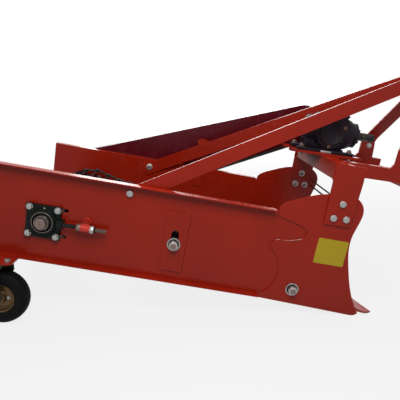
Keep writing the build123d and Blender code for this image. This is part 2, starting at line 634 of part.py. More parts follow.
with BuildPart() as chain_cover:
    add(cover_body.part)
    # everything below the chain's lower run is open
    with BuildSketch(upright(COVER_OUT + 1)):
        with BuildLine():
            Polyline((low_rear[0] - 400, low_rear[1] - 115), low_rear, low_front,
                     (GEAR_X + 300, GEAR_Z - 90), (GEAR_X + 300, 0), (DRIVE_X - 400, 0), close=True)
        make_face()
    extrude(amount=COVER_OUT - COVER_IN + 2, mode=Mode.SUBTRACT)
    # the tail stays above the rear wheel's bracket
    with BuildSketch(side_plane(COVER_OUT + 1)):
        with Locations((DRIVE_U - 100, 14 - 150)):
            Rectangle(500, 300)
    extrude(amount=COVER_OUT - COVER_IN + 2, mode=Mode.SUBTRACT)
    # the inner wall stops at the line of the two shafts
    with BuildSketch(upright(COVER_IN + COVER_T + 1)):
        with BuildLine():
            Polyline((DRIVE_X - 300, DRIVE_Z - 80), (DRIVE_X, DRIVE_Z + 40),
                     (GEAR_X, GEAR_Z + 40), (GEAR_X + 200, GEAR_Z + 60), (GEAR_X + 200, 0),
                     (DRIVE_X - 300, 0), close=True)
        make_face()
    extrude(amount=COVER_T + 2, mode=Mode.SUBTRACT)
save(chain_cover.part, "chain_cover")

with BuildPart() as cover_strap:
    with BuildSketch(side_plane(PLATE_IN)):
        with Locations((-65, 370)):
            Rectangle(50, 236)
    extrude(amount=6)
    with BuildSketch(side_plane(COVER_IN)):
        with Locations((-65, 462)):
            Circle(12)
    extrude(amount=COVER_IN - PLATE_IN)
save(cover_strap.part, "cover_strap")

# ---------------------------------------------------------------- elevator web
# A loop of hooked rods: each rod's ends turn forward and hook over the next rod.
WEB = [(DRIVE_X, DRIVE_Z, DRIVE_R), (NOSE_X, NOSE_Z, NOSE_R + ROD_R),
       (CARRIER_X, CARRIER_Z, CARRIER_R + ROD_R)]
web_path = hull_path(WEB)
web_length = sum(step[4] for step in web_path)


def step_along(s, link):
    """Distance round the web at which the next rod lies one straight link away."""
    x, z, heading = along(web_path, s % web_length)
    low, high = 0.5 * link, 1.5 * link
    for halving in range(40):
        middle = (low + high) / 2
        x2, z2, heading = along(web_path, (s + middle) % web_length)
        if hypot(x2 - x, z2 - z) < link:
            low = middle
        else:
            high = middle
    return s + low


def ring(link, count):
    """Distances of the rods for a given straight link, one more than once round."""
    places = [0.35 * link]
    for i in range(count):
        places.append(step_along(places[-1], link))
    return places


rod_count = round(web_length / WEB_PITCH)
short, long = 0.9 * web_length / rod_count, 1.05 * web_length / rod_count
for halving in range(30):
    LINK = (short + long) / 2          # rod to rod, the same for every link
    if ring(LINK, rod_count)[-1] - 0.35 * LINK < web_length:
        short = LINK
    else:
        long = LINK
rods = [along(web_path, s % web_length) for s in ring(LINK, rod_count)]
links = []
for here, onward in zip(rods[:-1], rods[1:]):
    slope = degrees(atan2(onward[1] - here[1], onward[0] - here[0]))
    links.append(Location((here[0], 0, here[1]), (0, -slope, 0)))

with BuildPart() as one_rod:
    with BuildSketch(Plane.XZ.offset(-ROD_HALF)):
        RegularPolygon(ROD_R, ROD_SIDES, rotation=180 / ROD_SIDES)
    extrude(amount=2 * ROD_HALF)
with BuildPart() as web_rods:
    with Locations(*links):
        add(one_rod.part)
save(web_rods.part, "web_rods")

# The hook of one rod: x runs along the link to the next rod, z points into the web's loop.
# Its arm passes the next rod on the outer side, then its end turns in behind that rod.
over = 2 * ROD_R + HOOK_FIT
climb = over / LINK / sqrt(1 - (over / LINK) ** 2)
for tag, side in (("right", -1), ("left", 1)):
    bend_y = side * (ROD_HALF + HOOK_OUT)
    seat_y = side * (ROD_HALF + HOOK_OUT - HOOK_STEP)
    with BuildPart() as one_hook:
        with BuildLine() as hook_line:
            Polyline((0, side * ROD_HALF, 0), (0, bend_y, 0),
                     (LINK + 1.1 * over, seat_y, -(LINK + 1.1 * over) * climb),
                     (LINK + over, seat_y, 0.8 * over))
        with BuildSketch(Plane(origin=(0, side * ROD_HALF, 0), x_dir=(1, 0, 0), z_dir=(0, side, 0))):
            RegularPolygon(ROD_R, ROD_SIDES, rotation=180 / ROD_SIDES)
        sweep(path=hook_line.wire(), transition=Transition.RIGHT)
    with BuildPart() as web_hooks:
        with Locations(*links):
            add(one_hook.part)
    save(web_hooks.part, "web_hooks_" + tag)

with BuildPart() as drive_shaft:
    with BuildSketch(upright(-HALF_WIDTH - DRIVE_OUT)):
        with Locations((DRIVE_X, DRIVE_Z)):
            Circle(SHAFT_R)
    extrude(amount=-(HALF_WIDTH + DRIVE_OUT + CHAIN_Y + 18))
    for y in (-200, 0, 200):
        with BuildSketch(upright(y + 5)):
            with Locations((DRIVE_X, DRIVE_Z)):
                Circle(DRIVE_R - ROD_R - 0.2)
        extrude(amount=10)
save(drive_shaft.part, "drive_shaft")

for name, x, z, r, reach in (("carrier_roller", CARRIER_X, CARRIER_Z, CARRIER_R, HALF_WIDTH + CARRIER_OUT),
                             ("nose_roller", NOSE_X, NOSE_Z, NOSE_R, HALF_WIDTH + NOSE_OUT)):
    with BuildPart() as roller:
        with BuildSketch(upright(-ROLLER_HALF)):
            with Locations((x, z)):
                Circle(r - 0.2)
        extrude(amount=-2 * ROLLER_HALF)
        with BuildSketch(upright(-reach)):
            with Locations((x, z)):
                Circle(AXLE_R)
        extrude(amount=-2 * reach)
    save(roller.part, name)

for name, x, z, y in (("carrier_washer_right", CARRIER_X, CARRIER_Z, -HALF_WIDTH - 5),
                      ("carrier_washer_left", CARRIER_X, CARRIER_Z, HALF_WIDTH + 5 + 4)):
    with BuildPart() as washer:
        with BuildSketch(upright(y)):
            with Locations((x, z)):
                Circle(22.5)
                Circle(AXLE_R + FIT, mode=Mode.SUBTRACT)
        extrude(amount=4)
    save(washer.part, name)

# ---------------------------------------------------------------- bearings and tension screws
SCREW_EYE = 14.0          # lug of the bearing that takes the tension screw
with BuildPart() as flange_bearing_right:
    with BuildSketch(side_plane(-HALF_WIDTH)):
        with Locations((DRIVE_U, DRIVE_W)):
            RectangleRounded(BEARING_SIDE, BEARING_SIDE, 14)
    extrude(amount=BEARING_T)
    with BuildSketch(side_plane(-HALF_WIDTH)):
        with Locations((DRIVE_U + BEARING_SIDE / 2 + SCREW_EYE / 2 - 4, SCREW_AXIS_W)):
            Rectangle(SCREW_EYE + 8, 2.6 * SCREW_R + 8)
    extrude(amount=SCREW_OUT + SCREW_R + 1)
    with BuildSketch(side_plane(-HALF_WIDTH - BEARING_T)):
        with Locations((DRIVE_U, DRIVE_W)):
            Circle(BEARING_BORE + 16)
    extrude(amount=BEARING_CONE, taper=30)
    # recess round the insert's inner ring
    with BuildSketch(side_plane(-HALF_WIDTH - BEARING_T - BEARING_CONE + 8)):
        with Locations((DRIVE_U, DRIVE_W)):
            Circle(BEARING_BORE)
    extrude(amount=40, mode=Mode.SUBTRACT)
    with BuildSketch(side_plane(-HALF_WIDTH)):
        with Locations((DRIVE_U, DRIVE_W)):
            Circle(COLLAR_R)
    extrude(amount=COLLAR_END)
    with BuildSketch(side_plane(-HALF_WIDTH)):
        with Locations((DRIVE_U, DRIVE_W)):
            Circle(SHAFT_R + FIT)
    extrude(amount=COLLAR_END, mode=Mode.SUBTRACT)
save(flange_bearing_right.part, "flange_bearing_right")

# the left bearing is lower, behind the chain
with BuildPart() as flange_bearing_left:
    with BuildSketch(side_plane(HALF_WIDTH)):
        with Locations((DRIVE_U, DRIVE_W)):
            RectangleRounded(BEARING_SIDE, BEARING_SIDE, 14)
    extrude(amount=-BEARING_T)
    with BuildSketch(side_plane(HALF_WIDTH)):
        with Locations((DRIVE_U + BEARING_SIDE / 2 + SCREW_EYE / 2 - 4, SCREW_AXIS_W)):
            Rectangle(SCREW_EYE + 8, 2.6 * SCREW_R + 8)
    extrude(amount=-SCREW_OUT - SCREW_R - 1)
    with BuildSketch(side_plane(HALF_WIDTH + BEARING_T)):
        with Locations((DRIVE_U, DRIVE_W)):
            Circle(BEARING_BORE + 6)
    extrude(amount=-BEARING_CONE)
    with BuildSketch(side_plane(HALF_WIDTH)):
        with Locations((DRIVE_U, DRIVE_W)):
            Circle(SHAFT_R + FIT)
    extrude(amount=-COLLAR_END, mode=Mode.SUBTRACT)
save(flange_bearing_left.part, "flange_bearing_left")

SCREW_U = DRIVE_U + BEARING_SIDE / 2 + SCREW_EYE         # the screw starts on the bearing's lug
SCREW_LONG = SLEEVE_U + SLEEVE_LONG / 2 + 60 - SCREW_U
for name, side in (("tension_screw_right", -1), ("tension_screw_left", 1)):
    screw_x, screw_z = side_point(SCREW_U, SCREW_AXIS_W)
    with BuildPart() as screw:
        with BuildSketch(Plane(origin=(screw_x, side * (HALF_WIDTH + SCREW_OUT), screw_z),
                               x_dir=(0, 1, 0), z_dir=(CS, 0, -SN))):
            Circle(SCREW_R)
        extrude(amount=SCREW_LONG)
    save(screw.part, name)

# ---------------------------------------------------------------- rear wheels
FORK_HALF = WHEEL_W / 2 + FORK_GAP
WHEEL_OUT = FORK_HALF + FORK_T + NUT_T        # outer end of the axle's nut from the wheel's middle
HUB_R = 20.0
FORK_FRONT = WHEEL_X + 41                     # upright front edge of the fork legs
for tag, side in (("right", -1), ("left", 1)):
    with BuildPart() as bracket:
        with BuildSketch(Plane(origin=(DATUM_X, 0, DATUM_Z), x_dir=(CS, 0, -SN), z_dir=(SN, 0, CS))):
            edge = side * (WHEEL_Y + WHEEL_OUT)
            with BuildLine():
                Polyline((WHEEL_U - 70, side * HALF_WIDTH), (WHEEL_U + 42, side * HALF_WIDTH),
                         (WHEEL_U + 42, edge - side * 16), (WHEEL_U + 24, edge),
                         (WHEEL_U - 54, edge), (WHEEL_U - 70, edge - side * 16), close=True)
            make_face()
        extrude(amount=-BRACKET_T)
    save(bracket.part, "wheel_bracket_" + tag)

    with BuildPart() as fork:
        outer = FORK_HALF + FORK_T
        rear_foot = side_point(WHEEL_U - 60, -BRACKET_T)
        front_foot = side_point(WHEEL_U + 16, -BRACKET_T)
        with BuildSketch(upright(side * WHEEL_Y + outer)):
            with BuildLine():
                Polyline(rear_foot, (WHEEL_X - HUB_R, WHEEL_Z), (WHEEL_X, WHEEL_Z - HUB_R),
                         (WHEEL_X + HUB_R, WHEEL_Z), (FORK_FRONT, WHEEL_Z + 50),
                         front_foot, close=True)
            make_face()
            with Locations((WHEEL_X, WHEEL_Z)):
                Circle(HUB_R)
                Circle(WHEEL_AXLE_R + FIT, mode=Mode.SUBTRACT)
        extrude(amount=2 * outer)
        # open between the legs, up to the bridge under the bracket
        with BuildSketch(side_plane(side * WHEEL_Y + FORK_HALF)):
            with Locations((WHEEL_U, WHEEL_W0 - BRACKET_T - FORK_T)):
                Rectangle(240, -2 * WHEEL_W0)
        extrude(amount=2 * FORK_HALF, mode=Mode.SUBTRACT)
    save(fork.part, "wheel_fork_" + tag)

    wheel_side = Plane(origin=(WHEEL_X, side * WHEEL_Y, WHEEL_Z), x_dir=(1, 0, 0), z_dir=(0, 0, 1))
    with BuildPart() as tyre:
        half = WHEEL_W / 2
        with BuildSketch(wheel_side):
            with BuildLine():
                Polyline((RIM_R, -half + 5), (RIM_R + 12, -half), (WHEEL_R - 16, -half),
                         (WHEEL_R - 5, -half + 7), (WHEEL_R, -half + 18), (WHEEL_R, half - 18),
                         (WHEEL_R - 5, half - 7), (WHEEL_R - 16, half), (RIM_R + 12, half),
                         (RIM_R, half - 5), close=True)
            make_face()
        revolve(axis=Axis((WHEEL_X, side * WHEEL_Y, WHEEL_Z), (0, 1, 0)))
    save(tyre.part, "tyre_" + tag)

    # pressed rim with its flange, dished disc and hub
    with BuildPart() as rim:
        with BuildSketch(wheel_side):
            with BuildLine():
                Polyline((WHEEL_AXLE_R + FIT, -half), (HUB_R, -half), (HUB_R, -8),
                         (RIM_R - 18, 4), (RIM_R - 4, 4), (RIM_R - 4, -half + 6), (RIM_R, -half + 6),
                         (RIM_R, half - 6), (RIM_R - 4, half - 6), (RIM_R - 4, 9), (RIM_R - 20, 9),
                         (HUB_R, -2), (HUB_R, half), (WHEEL_AXLE_R + FIT, half), close=True)
            make_face()
        revolve(axis=Axis((WHEEL_X, side * WHEEL_Y, WHEEL_Z), (0, 1, 0)))
    save(rim.part, "rim_" + tag)

    with BuildPart() as axle:
        reach = FORK_HALF + FORK_T
        with BuildSketch(upright(side * WHEEL_Y + reach)):
            with Locations((WHEEL_X, WHEEL_Z)):
                Circle(WHEEL_AXLE_R)
        extrude(amount=2 * reach)
        for y in (side * WHEEL_Y + reach + NUT_T, side * WHEEL_Y - reach):
            with BuildSketch(upright(y)):
                with Locations((WHEEL_X, WHEEL_Z)):
                    RegularPolygon(13, 6)
            extrude(amount=NUT_T)
    save(axle.part, "wheel_axle_" + tag)
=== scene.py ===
"""Looks of a single-row potato digger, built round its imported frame.

+X points forward to the tractor, +Y to the machine's left and Z is up, in metres.
The axes and settings come first, then the finishes and the modelling helpers, and then
one section for each group of pieces with its sizes and its operator.
"""
import json
from contextlib import contextmanager
from math import acos, atan2, cos, hypot, pi, radians, sin, sqrt
from random import Random

import bpy
from bpy.props import FloatProperty, FloatVectorProperty, PointerProperty
from mathutils import Matrix, Vector


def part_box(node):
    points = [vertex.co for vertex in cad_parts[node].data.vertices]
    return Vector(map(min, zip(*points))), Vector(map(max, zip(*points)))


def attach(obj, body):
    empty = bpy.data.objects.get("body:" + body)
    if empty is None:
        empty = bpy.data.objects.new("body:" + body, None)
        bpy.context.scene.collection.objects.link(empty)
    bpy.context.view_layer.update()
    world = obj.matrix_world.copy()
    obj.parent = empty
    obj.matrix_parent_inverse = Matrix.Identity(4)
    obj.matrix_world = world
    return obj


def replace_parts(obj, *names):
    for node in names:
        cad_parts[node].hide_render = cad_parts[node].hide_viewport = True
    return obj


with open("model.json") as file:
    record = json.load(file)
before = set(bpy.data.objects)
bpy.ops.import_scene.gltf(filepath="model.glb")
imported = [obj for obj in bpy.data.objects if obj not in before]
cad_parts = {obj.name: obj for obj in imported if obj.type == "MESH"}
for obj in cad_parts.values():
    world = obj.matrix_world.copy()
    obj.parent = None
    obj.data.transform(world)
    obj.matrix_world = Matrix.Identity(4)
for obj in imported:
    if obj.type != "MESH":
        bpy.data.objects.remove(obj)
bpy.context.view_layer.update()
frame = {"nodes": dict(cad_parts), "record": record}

bl_info = {
    "name": "Potato digger looks",
    "version": (1, 0, 0),
    "blender": (4, 5, 0),
    "location": "3D View > Sidebar > Digger",
    "description": "Paint, fasteners and small fittings of a single-row potato digger",
    "category": "Object",
}


# -------- axes and places of the machine
def sloped(slope):
    """The directions along and across a part that runs down to the front."""
    return Vector((cos(slope), 0, -sin(slope))), Vector((sin(slope), 0, cos(slope)))


def axes_at(origin, along, up):
    """The frame of a sloping part: x along it, y to the left, z up from it."""
    return Matrix.Translation(origin) @ Matrix((
        (along.x, 0, up.x), (0, 1, 0), (along.z, 0, up.z))).to_4x4()


def centre(node):
    """The middle of a node's box."""
    low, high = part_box(node)
    return (low + high) / 2


def outer(node):
    """How far a node reaches from the centre plane."""
    low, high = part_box(node)
    return max(abs(low.y), abs(high.y))


def inner(node):
    """How near a node comes to the centre plane."""
    low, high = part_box(node)
    return min(abs(low.y), abs(high.y))


SIDES = {"right": -1, "left": 1}
LEFT = Vector((0, 1, 0))
SIDE_SLOPE, HEAD_SLOPE = radians(10.0), radians(8.5)
DATUM = Vector((-0.083, 0.0, 0.127))       # foot of the side plates' own axes
HEAD = Vector((0.406, 0.0, 0.595))         # top rear edge of the cross beam
DOWN_PLATE, UP_PLATE = sloped(SIDE_SLOPE)
ALONG_HEAD, UP_HEAD = sloped(HEAD_SLOPE)
PLATE_FRAME = axes_at(DATUM, DOWN_PLATE, UP_PLATE)
HEAD_FRAME = axes_at(HEAD, ALONG_HEAD, UP_HEAD)

# Distances from the centre plane.
PLATE_IN, PLATE_OUT = inner("side_plate_right"), inner("cheek_plate_right")
CHEEK_OUT, LEG_OUT = outer("cheek_plate_right"), outer("leg_right")
BEARING_FLANGE = PLATE_OUT + 0.012


def plate_place(point):
    """The place of a point along and up a side plate."""
    away = Vector(point) - DATUM
    return away.dot(DOWN_PLATE), away.dot(UP_PLATE)


def on_plate(u, w, y):
    """A point from its place along and up a side plate."""
    return DATUM + DOWN_PLATE * u + UP_PLATE * w + LEFT * y


def on_head(u, v, y):
    """A point from its place along and above the head frame."""
    return HEAD + ALONG_HEAD * u + UP_HEAD * v + LEFT * y


def between(table, at):
    """A value read off a table of (place, value), level beyond its ends."""
    if at <= table[0][0]:
        return table[0][1]
    for (start, low), (end, high) in zip(table, table[1:]):
        if at <= end:
            return low + (high - low) * (at - start) / (end - start)
    return table[-1][1]


def around(middle, first, second, radius, angles):
    """Points on a circle in the plane of two directions."""
    return [middle + (first * cos(angle) + second * sin(angle)) * radius for angle in angles]


def spread(count, first=0.0):
    """Angles spread evenly over a turn."""
    return [first + step * 2 * pi / count for step in range(count)]


# -------- what a user may change
def colour(name, description, default):
    """A colour that a user may change."""
    return FloatVectorProperty(name=name, description=description, default=default,
                               subtype="COLOR", size=3)


def measure(name, description, default, unit="LENGTH"):
    """A size in metres, or another measure, that a user may change."""
    return FloatProperty(name=name, description=description, default=default, unit=unit)


class DiggerColours(bpy.types.PropertyGroup):
    enamel: colour("Red enamel", "Colour of the painted steel", (0.33, 0.014, 0.0035))
    # Chain cover: the red enamel darkened to maroon, as painted shade on its shaded inner face.
    enamel_painted_shade: colour("Maroon enamel", "Chain cover", (0.095, 0.003, 0.008))
    # Share's blade: a lighter, pinker enamel, partly wear and partly painted highlight on its top.
    enamel_worn_and_highlit: colour("Worn enamel", "Enamel on the share's blade", (0.36, 0.06, 0.045))
    primer: colour("Chips", "Bare metal where paint has chipped", (0.42, 0.36, 0.33))
    black: colour("Black enamel", "Gearbox and rollers", (0.0065, 0.0035, 0.0070))
    zinc: colour("Zinc", "Plated bolts and nuts", (0.36, 0.35, 0.34))
    # Welds and sleeves: a lighter red, partly fresher paint and partly painted highlight where
    # beads and tubes catch light.
    enamel_fresh_and_highlit: colour("Weld enamel", "Fresh enamel on welds", (0.42, 0.03, 0.018))
    rust: colour("Rust", "Rust on the gearbox and its bolts", (0.14, 0.07, 0.04))
    spring_steel: colour("Spring steel", "Rods of the web", (0.014, 0.012, 0.011))
    turned_steel: colour("Turned steel", "Shaft ends and threads", (0.15, 0.10, 0.085))
    passivated: colour("Yellow zinc", "Rims and forks", (0.115, 0.068, 0.028))
    casting: colour("Bearing green", "Bearing housings", (0.004, 0.0075, 0.006))
    plate: colour("Blank plate", "Blank yellow plate on the cheek", (0.50, 0.37, 0.020))
    rubber: colour("Rubber", "Tyres and seals", (0.003, 0.0027, 0.003))


class DiggerFasteners(bpy.types.PropertyGroup):
    leg_head: measure("Leg bolt head", "Across the corners, halved", 0.0135)
    bearing_head: measure("Bearing bolt head", "Across the corners, halved", 0.011)
    axle_nut: measure("Axle nut", "Across the corners, halved", 0.0185)
    small_head: measure("Small bolt head", "Across the corners, halved", 0.010)
    thread_pitch: measure("Thread pitch", "Pitch of the tension screws", 0.003)


class DiggerStage(bpy.types.PropertyGroup):
    eye: FloatVectorProperty(name="Camera", description="Place of the camera", subtype="XYZ",
                             size=3, default=(-0.083, -1.743, 0.823), unit="LENGTH")
    dip: measure("Dip", "How far the camera looks down", radians(14.1), "ROTATION")
    lens: measure("Lens", "Focal length in millimetres", 36.9, "NONE")
    key: measure("Key light", "Power of the lamp in front", 19.5, "POWER")
    overhead: measure("Overhead light", "Power of the lamp above", 52.0, "POWER")
    back: measure("Back light", "Power of the strip that lights the edges", 34.0, "POWER")
    sky: measure("Sky", "Strength of the surrounding light", 0.15, "NONE")


# -------- shader maths
class Mask:
    """A shader socket that takes part in Python expressions."""

    def __init__(self, look, socket):
        self.look, self.socket = look, socket

    def _with(self, operation, other):
        return self.look.node("ShaderNodeMath", {"operation": operation}, {0: self, 1: other})

    def __add__(self, other):
        return self._with("ADD", other)

    def __sub__(self, other):
        return self._with("SUBTRACT", other)

    def __mul__(self, other):
        return self._with("MULTIPLY", other)

    __radd__ = __add__

    def larger(self, other):
        """The larger of two at each point."""
        return self._with("MAXIMUM", other)

    def above(self, level, soft):
        """1 above the level, 0 below it, with a soft step."""
        return self.look.node("ShaderNodeMapRange", {"interpolation_type": "SMOOTHSTEP"},
                              {"Value": self, "From Min": level - soft, "From Max": level + soft})


class Look:
    """A node tree while its nodes are being made."""

    def __init__(self, tree, output):
        self.tree = tree
        tree.nodes.clear()
        self.output = tree.nodes.new(output)

    def node(self, kind, settings, inputs, output=0):
        """A new node with its settings and inputs; gives one of its outputs."""
        made = self.tree.nodes.new(kind)
        for name, value in settings.items():
            setattr(made, name, value)
        self.feed(made, inputs)
        return Mask(self, made.outputs[output])

    def feed(self, made, inputs):
        """A node's inputs, each a value or a link."""
        for name, value in inputs.items():
            socket = made.inputs[name]
            if isinstance(value, Mask):
                self.tree.links.new(value.socket, socket)
            else:
                socket.default_value = value

    def finish(self, shader):
        """The shader that the tree gives out."""
        self.tree.links.new(shader.socket, self.output.inputs["Surface"])

    def background_ray(self):
        """1 for a ray that shows the background, 0 for one that lights the machine."""
        camera, glossy, through = [self.node("ShaderNodeLightPath", {}, {}, kind) for kind in
                                   ("Is Camera Ray", "Is Glossy Ray", "Is Transmission Ray")]
        return camera.larger(glossy).larger(through)


class Finish(Look):
    """One material, laid out in the machine's own axes."""

    def __init__(self, name):
        self.material = bpy.data.materials.new(name)
        self.material.use_nodes = True
        super().__init__(self.material.node_tree, "ShaderNodeOutputMaterial")
        self.shader = self.tree.nodes.new("ShaderNodeBsdfPrincipled")
        self.finish(Mask(self, self.shader.outputs[0]))
        self.place = self.node("ShaderNodeTexCoord", {}, {}, "Object")

    def noise(self, scale, detail=3.0, rough=0.55, squeeze=None):
        """Cloudy values between 0 and 1."""
        place = self.place
        if squeeze:
            place = self.node("ShaderNodeMapping", {}, {"Vector": place, "Scale": squeeze})
        return self.node("ShaderNodeTexNoise", {},
                         {"Vector": place, "Scale": scale, "Detail": detail, "Roughness": rough})

    def blend(self, mask, first, second):
        """A colour between two, by a mask."""
        ready = [c if isinstance(c, Mask) else (*c, 1.0) for c in (first, second)]
        return self.node("ShaderNodeMix", {"data_type": "RGBA"},
                         {0: mask, 6: ready[0], 7: ready[1]}, 2)

    def bump(self, height, distance, strength):
        """Normals of a surface that rises by the height times the distance."""
        return self.node("ShaderNodeBump", {},
                         {"Height": height, "Distance": distance, "Strength": strength})

    def surface(self, **inputs):
        """The material, with the shader's inputs given by short names."""
        names = {"colour": "Base Color", "metal": "Metallic", "rough": "Roughness",
                 "normal": "Normal", "specular": "Specular IOR Level"}
        for name, value in inputs.items():
            if name == "colour" and not isinstance(value, Mask):
                value = (*value, 1.0)
            self.feed(self.shader, {names[name]: value})
        return self.material


# -------- finishes
def shade(paint, factor):
    """A lighter or darker shade of a colour."""
    return tuple(channel * factor for channel in paint)


def red_enamel(name, base, chips, gloss=0.2):
    """Gloss enamel on sheet steel: faint waves, streaks, dust and a few chips."""
    look = Finish(name)
    broad = look.noise(2.6, 2.0)
    streaks = look.noise(9.0, 4.0, 0.6, (1, 1, 0.15))
    tone = look.blend(broad * 0.65 + streaks * 0.35, shade(base, 0.72), shade(base, 1.26))
    spots = look.noise(70.0, 5.0, 0.7).above(0.77, 0.02) * look.noise(5.0, 2.0).above(0.55, 0.08)
    dust = look.noise(18.0, 5.0, 0.65).above(0.62, 0.15)
    tone = look.blend(dust * 0.03, tone, (0.30, 0.16, 0.13))
    tone = look.blend(spots * 0.6, tone, chips)
    peel = look.noise(260.0, 2.0)
    return look.surface(colour=tone, rough=0.24 + dust * 0.14 + spots * 0.3, specular=gloss,
                        normal=look.bump(peel + broad * 3.0 - spots * 2.0, 0.0006, 0.3))


def weld_enamel(name, base, chips):
    """Glossy enamel over a rough bead, with the bare metal showing on its crests."""
    look = Finish(name)
    bare = look.noise(150.0, 3.0).above(0.52, 0.06)
    tone = look.blend(bare * 0.75, base, chips)
    return look.surface(colour=tone, rough=0.25 + bare * 0.15, specular=0.5,
                        normal=look.bump(look.noise(500.0), 0.0006, 0.6))


def black_enamel(name, base, chips):
    """Satin black over a rough casting, with brown spots where it has worn."""
    look = Finish(name)
    grain = look.noise(160.0, 4.0, 0.65)
    blotch = look.noise(14.0, 4.0, 0.6)
    rust = look.noise(38.0, 5.0, 0.7).above(0.68, 0.03) * blotch.above(0.5, 0.1)
    tone = look.blend(blotch, shade(base, 0.7), shade(base, 1.9))
    tone = look.blend(rust * 0.55, tone, chips)
    return look.surface(colour=tone, rough=0.42 + blotch * 0.2, specular=0.14,
                        normal=look.bump(grain, 0.0012, 0.5))


def rolled_steel(name, base):
    """Dark spring steel rods, oiled, with a trace of rust."""
    look = Finish(name)
    wear = look.noise(45.0, 4.0)
    tone = look.blend(wear.above(0.58, 0.12) * 0.6, base, (0.09, 0.055, 0.035))
    return look.surface(colour=tone, metal=0.4, rough=0.38 + wear * 0.2,
                        normal=look.bump(look.noise(300.0), 0.0004, 0.4))


def plated_steel(name, base, metal=0.9):
    """Zinc plate with its cloudy tone."""
    look = Finish(name)
    cloud = look.noise(90.0, 3.0)
    tone = look.blend(cloud, shade(base, 0.72), shade(base, 1.15))
    return look.surface(colour=tone, metal=metal, rough=0.32 + cloud * 0.2,
                        normal=look.bump(look.noise(400.0), 0.0003, 0.3))


def green_casting(name, base):
    """Thin enamel over the bearings' sand-cast housings."""
    look = Finish(name)
    grain = look.noise(190.0, 4.0, 0.6)
    tone = look.blend(look.noise(20.0), shade(base, 0.7), shade(base, 1.5))
    return look.surface(colour=tone, rough=0.42, specular=0.12,
                        normal=look.bump(grain, 0.0010, 0.5))


def moulded_rubber(name, base):
    """Dull black rubber with dust lying on it in patches."""
    look = Finish(name)
    dust = look.noise(22.0, 4.0, 0.6)
    tone = look.blend(dust.above(0.5, 0.25) * 0.22, base, (0.02, 0.017, 0.016))
    return look.surface(colour=tone, rough=0.55 + dust * 0.15, specular=0.08,
                        normal=look.bump(look.noise(350.0), 0.0005, 0.4))


def yellow_film(name, base):
    """The smooth face of the blank plate."""
    look = Finish(name)
    cloud = look.noise(30.0, 3.0)
    tone = look.blend(cloud, shade(base, 0.93), base)
    return look.surface(colour=tone, rough=0.35 + cloud * 0.1, specular=0.2,
                        normal=look.bump(look.noise(120.0), 0.0002, 0.3))


LOOKS = {}             # filled by the paint operator, by slot or by the name of a finer look


# -------- meshes in hand
def deselect():
    """Object mode with nothing selected."""
    if bpy.context.object and bpy.context.object.mode != "OBJECT":
        bpy.ops.object.mode_set(mode="OBJECT")
    bpy.ops.object.select_all(action="DESELECT")


def choose(*pieces):
    """Only these pieces selected, the first one active."""
    deselect()
    for piece in pieces:
        piece.select_set(True)
    bpy.context.view_layer.objects.active = pieces[0]


@contextmanager
def editing(piece, test):
    """Edit mode on a piece, with the faces selected that the test picks."""
    choose(piece)
    for vertex in piece.data.vertices:
        vertex.select = False
    for edge in piece.data.edges:
        edge.select = False
    for face in piece.data.polygons:
        face.select = test(face)
    bpy.ops.object.mode_set(mode="EDIT")
    bpy.ops.mesh.select_mode(type="FACE")
    yield
    bpy.ops.object.mode_set(mode="OBJECT")


@contextmanager
def reshaping(piece):
    """Edit mode on a whole piece, whose faces point outwards afterwards."""
    choose(piece)
    bpy.ops.object.mode_set(mode="EDIT")
    bpy.ops.mesh.select_all(action="SELECT")
    yield
    bpy.ops.mesh.select_all(action="SELECT")
    bpy.ops.mesh.normals_make_consistent(inside=False)
    bpy.ops.object.mode_set(mode="OBJECT")


def settle(piece):
    """A piece's place and size applied to its mesh."""
    choose(piece)
    bpy.ops.object.transform_apply(location=True, rotation=True, scale=True)
    return piece


def moved(piece, matrix):
    """A piece carried to its place, kept in its mesh."""
    piece.data.transform(matrix)
    return piece


def named(piece, name):
    """A piece with its name, on its mesh too."""
    piece.name = piece.data.name = name
    return piece


def joined(pieces, name):
    """One mesh of several pieces."""
    choose(*pieces)
    if len(pieces) > 1:
        bpy.ops.object.join()
    return named(bpy.context.object, name)


def upended(point, direction, turn=0.0):
    """The frame at a point whose z axis runs along the direction."""
    facing = Vector(direction).normalized().to_track_quat("Z", "Y").to_matrix().to_4x4()
    return Matrix.Translation(Vector(point)) @ (facing @ Matrix.Rotation(turn, 4, "Z"))


def along_loop(start, onward):
    """The frame of a link: x to the next one, y to the left and z into its loop."""
    run = (onward - start).normalized()
    turned = Matrix(((run.x, 0, -run.z), (0, 1, 0), (run.z, 0, run.x))).to_4x4()
    return Matrix.Translation(start) @ turned


def copied(master, matrices, name):
    """Copies of a master, one for each matrix, joined; the master goes."""
    copies = []
    for matrix in matrices:
        copy = bpy.data.objects.new(name, master.data.copy())
        bpy.context.collection.objects.link(copy)
        copies.append(moved(copy, matrix))
    bpy.data.objects.remove(master)
    return joined(copies, name)


def stamped(master, places, name):
    """Copies of a master at (point, direction, turn)."""
    return copied(master, [upended(*place) for place in places], name)


def fitted(piece, body, slot, look=None, smooth=radians(35)):
    """A finished piece: shaded, painted and riding on its body."""
    choose(piece)
    bpy.ops.object.shade_smooth_by_angle(angle=smooth)
    piece.data.materials.clear()
    piece.data.materials.append(LOOKS[look or slot])
    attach(piece, body)
    return piece


def placed(name, piece, at, *paint, body="frame", smooth=radians(35)):
    """A piece carried to its place, then named and finished."""
    return fitted(named(moved(piece, at), name), body, *paint, smooth=smooth)


def fasten(name, master, places, slot="zinc", look=None):
    """Like fasteners on the frame: a master stamped at each place."""
    return fitted(stamped(master, places, name), "frame", slot, look)


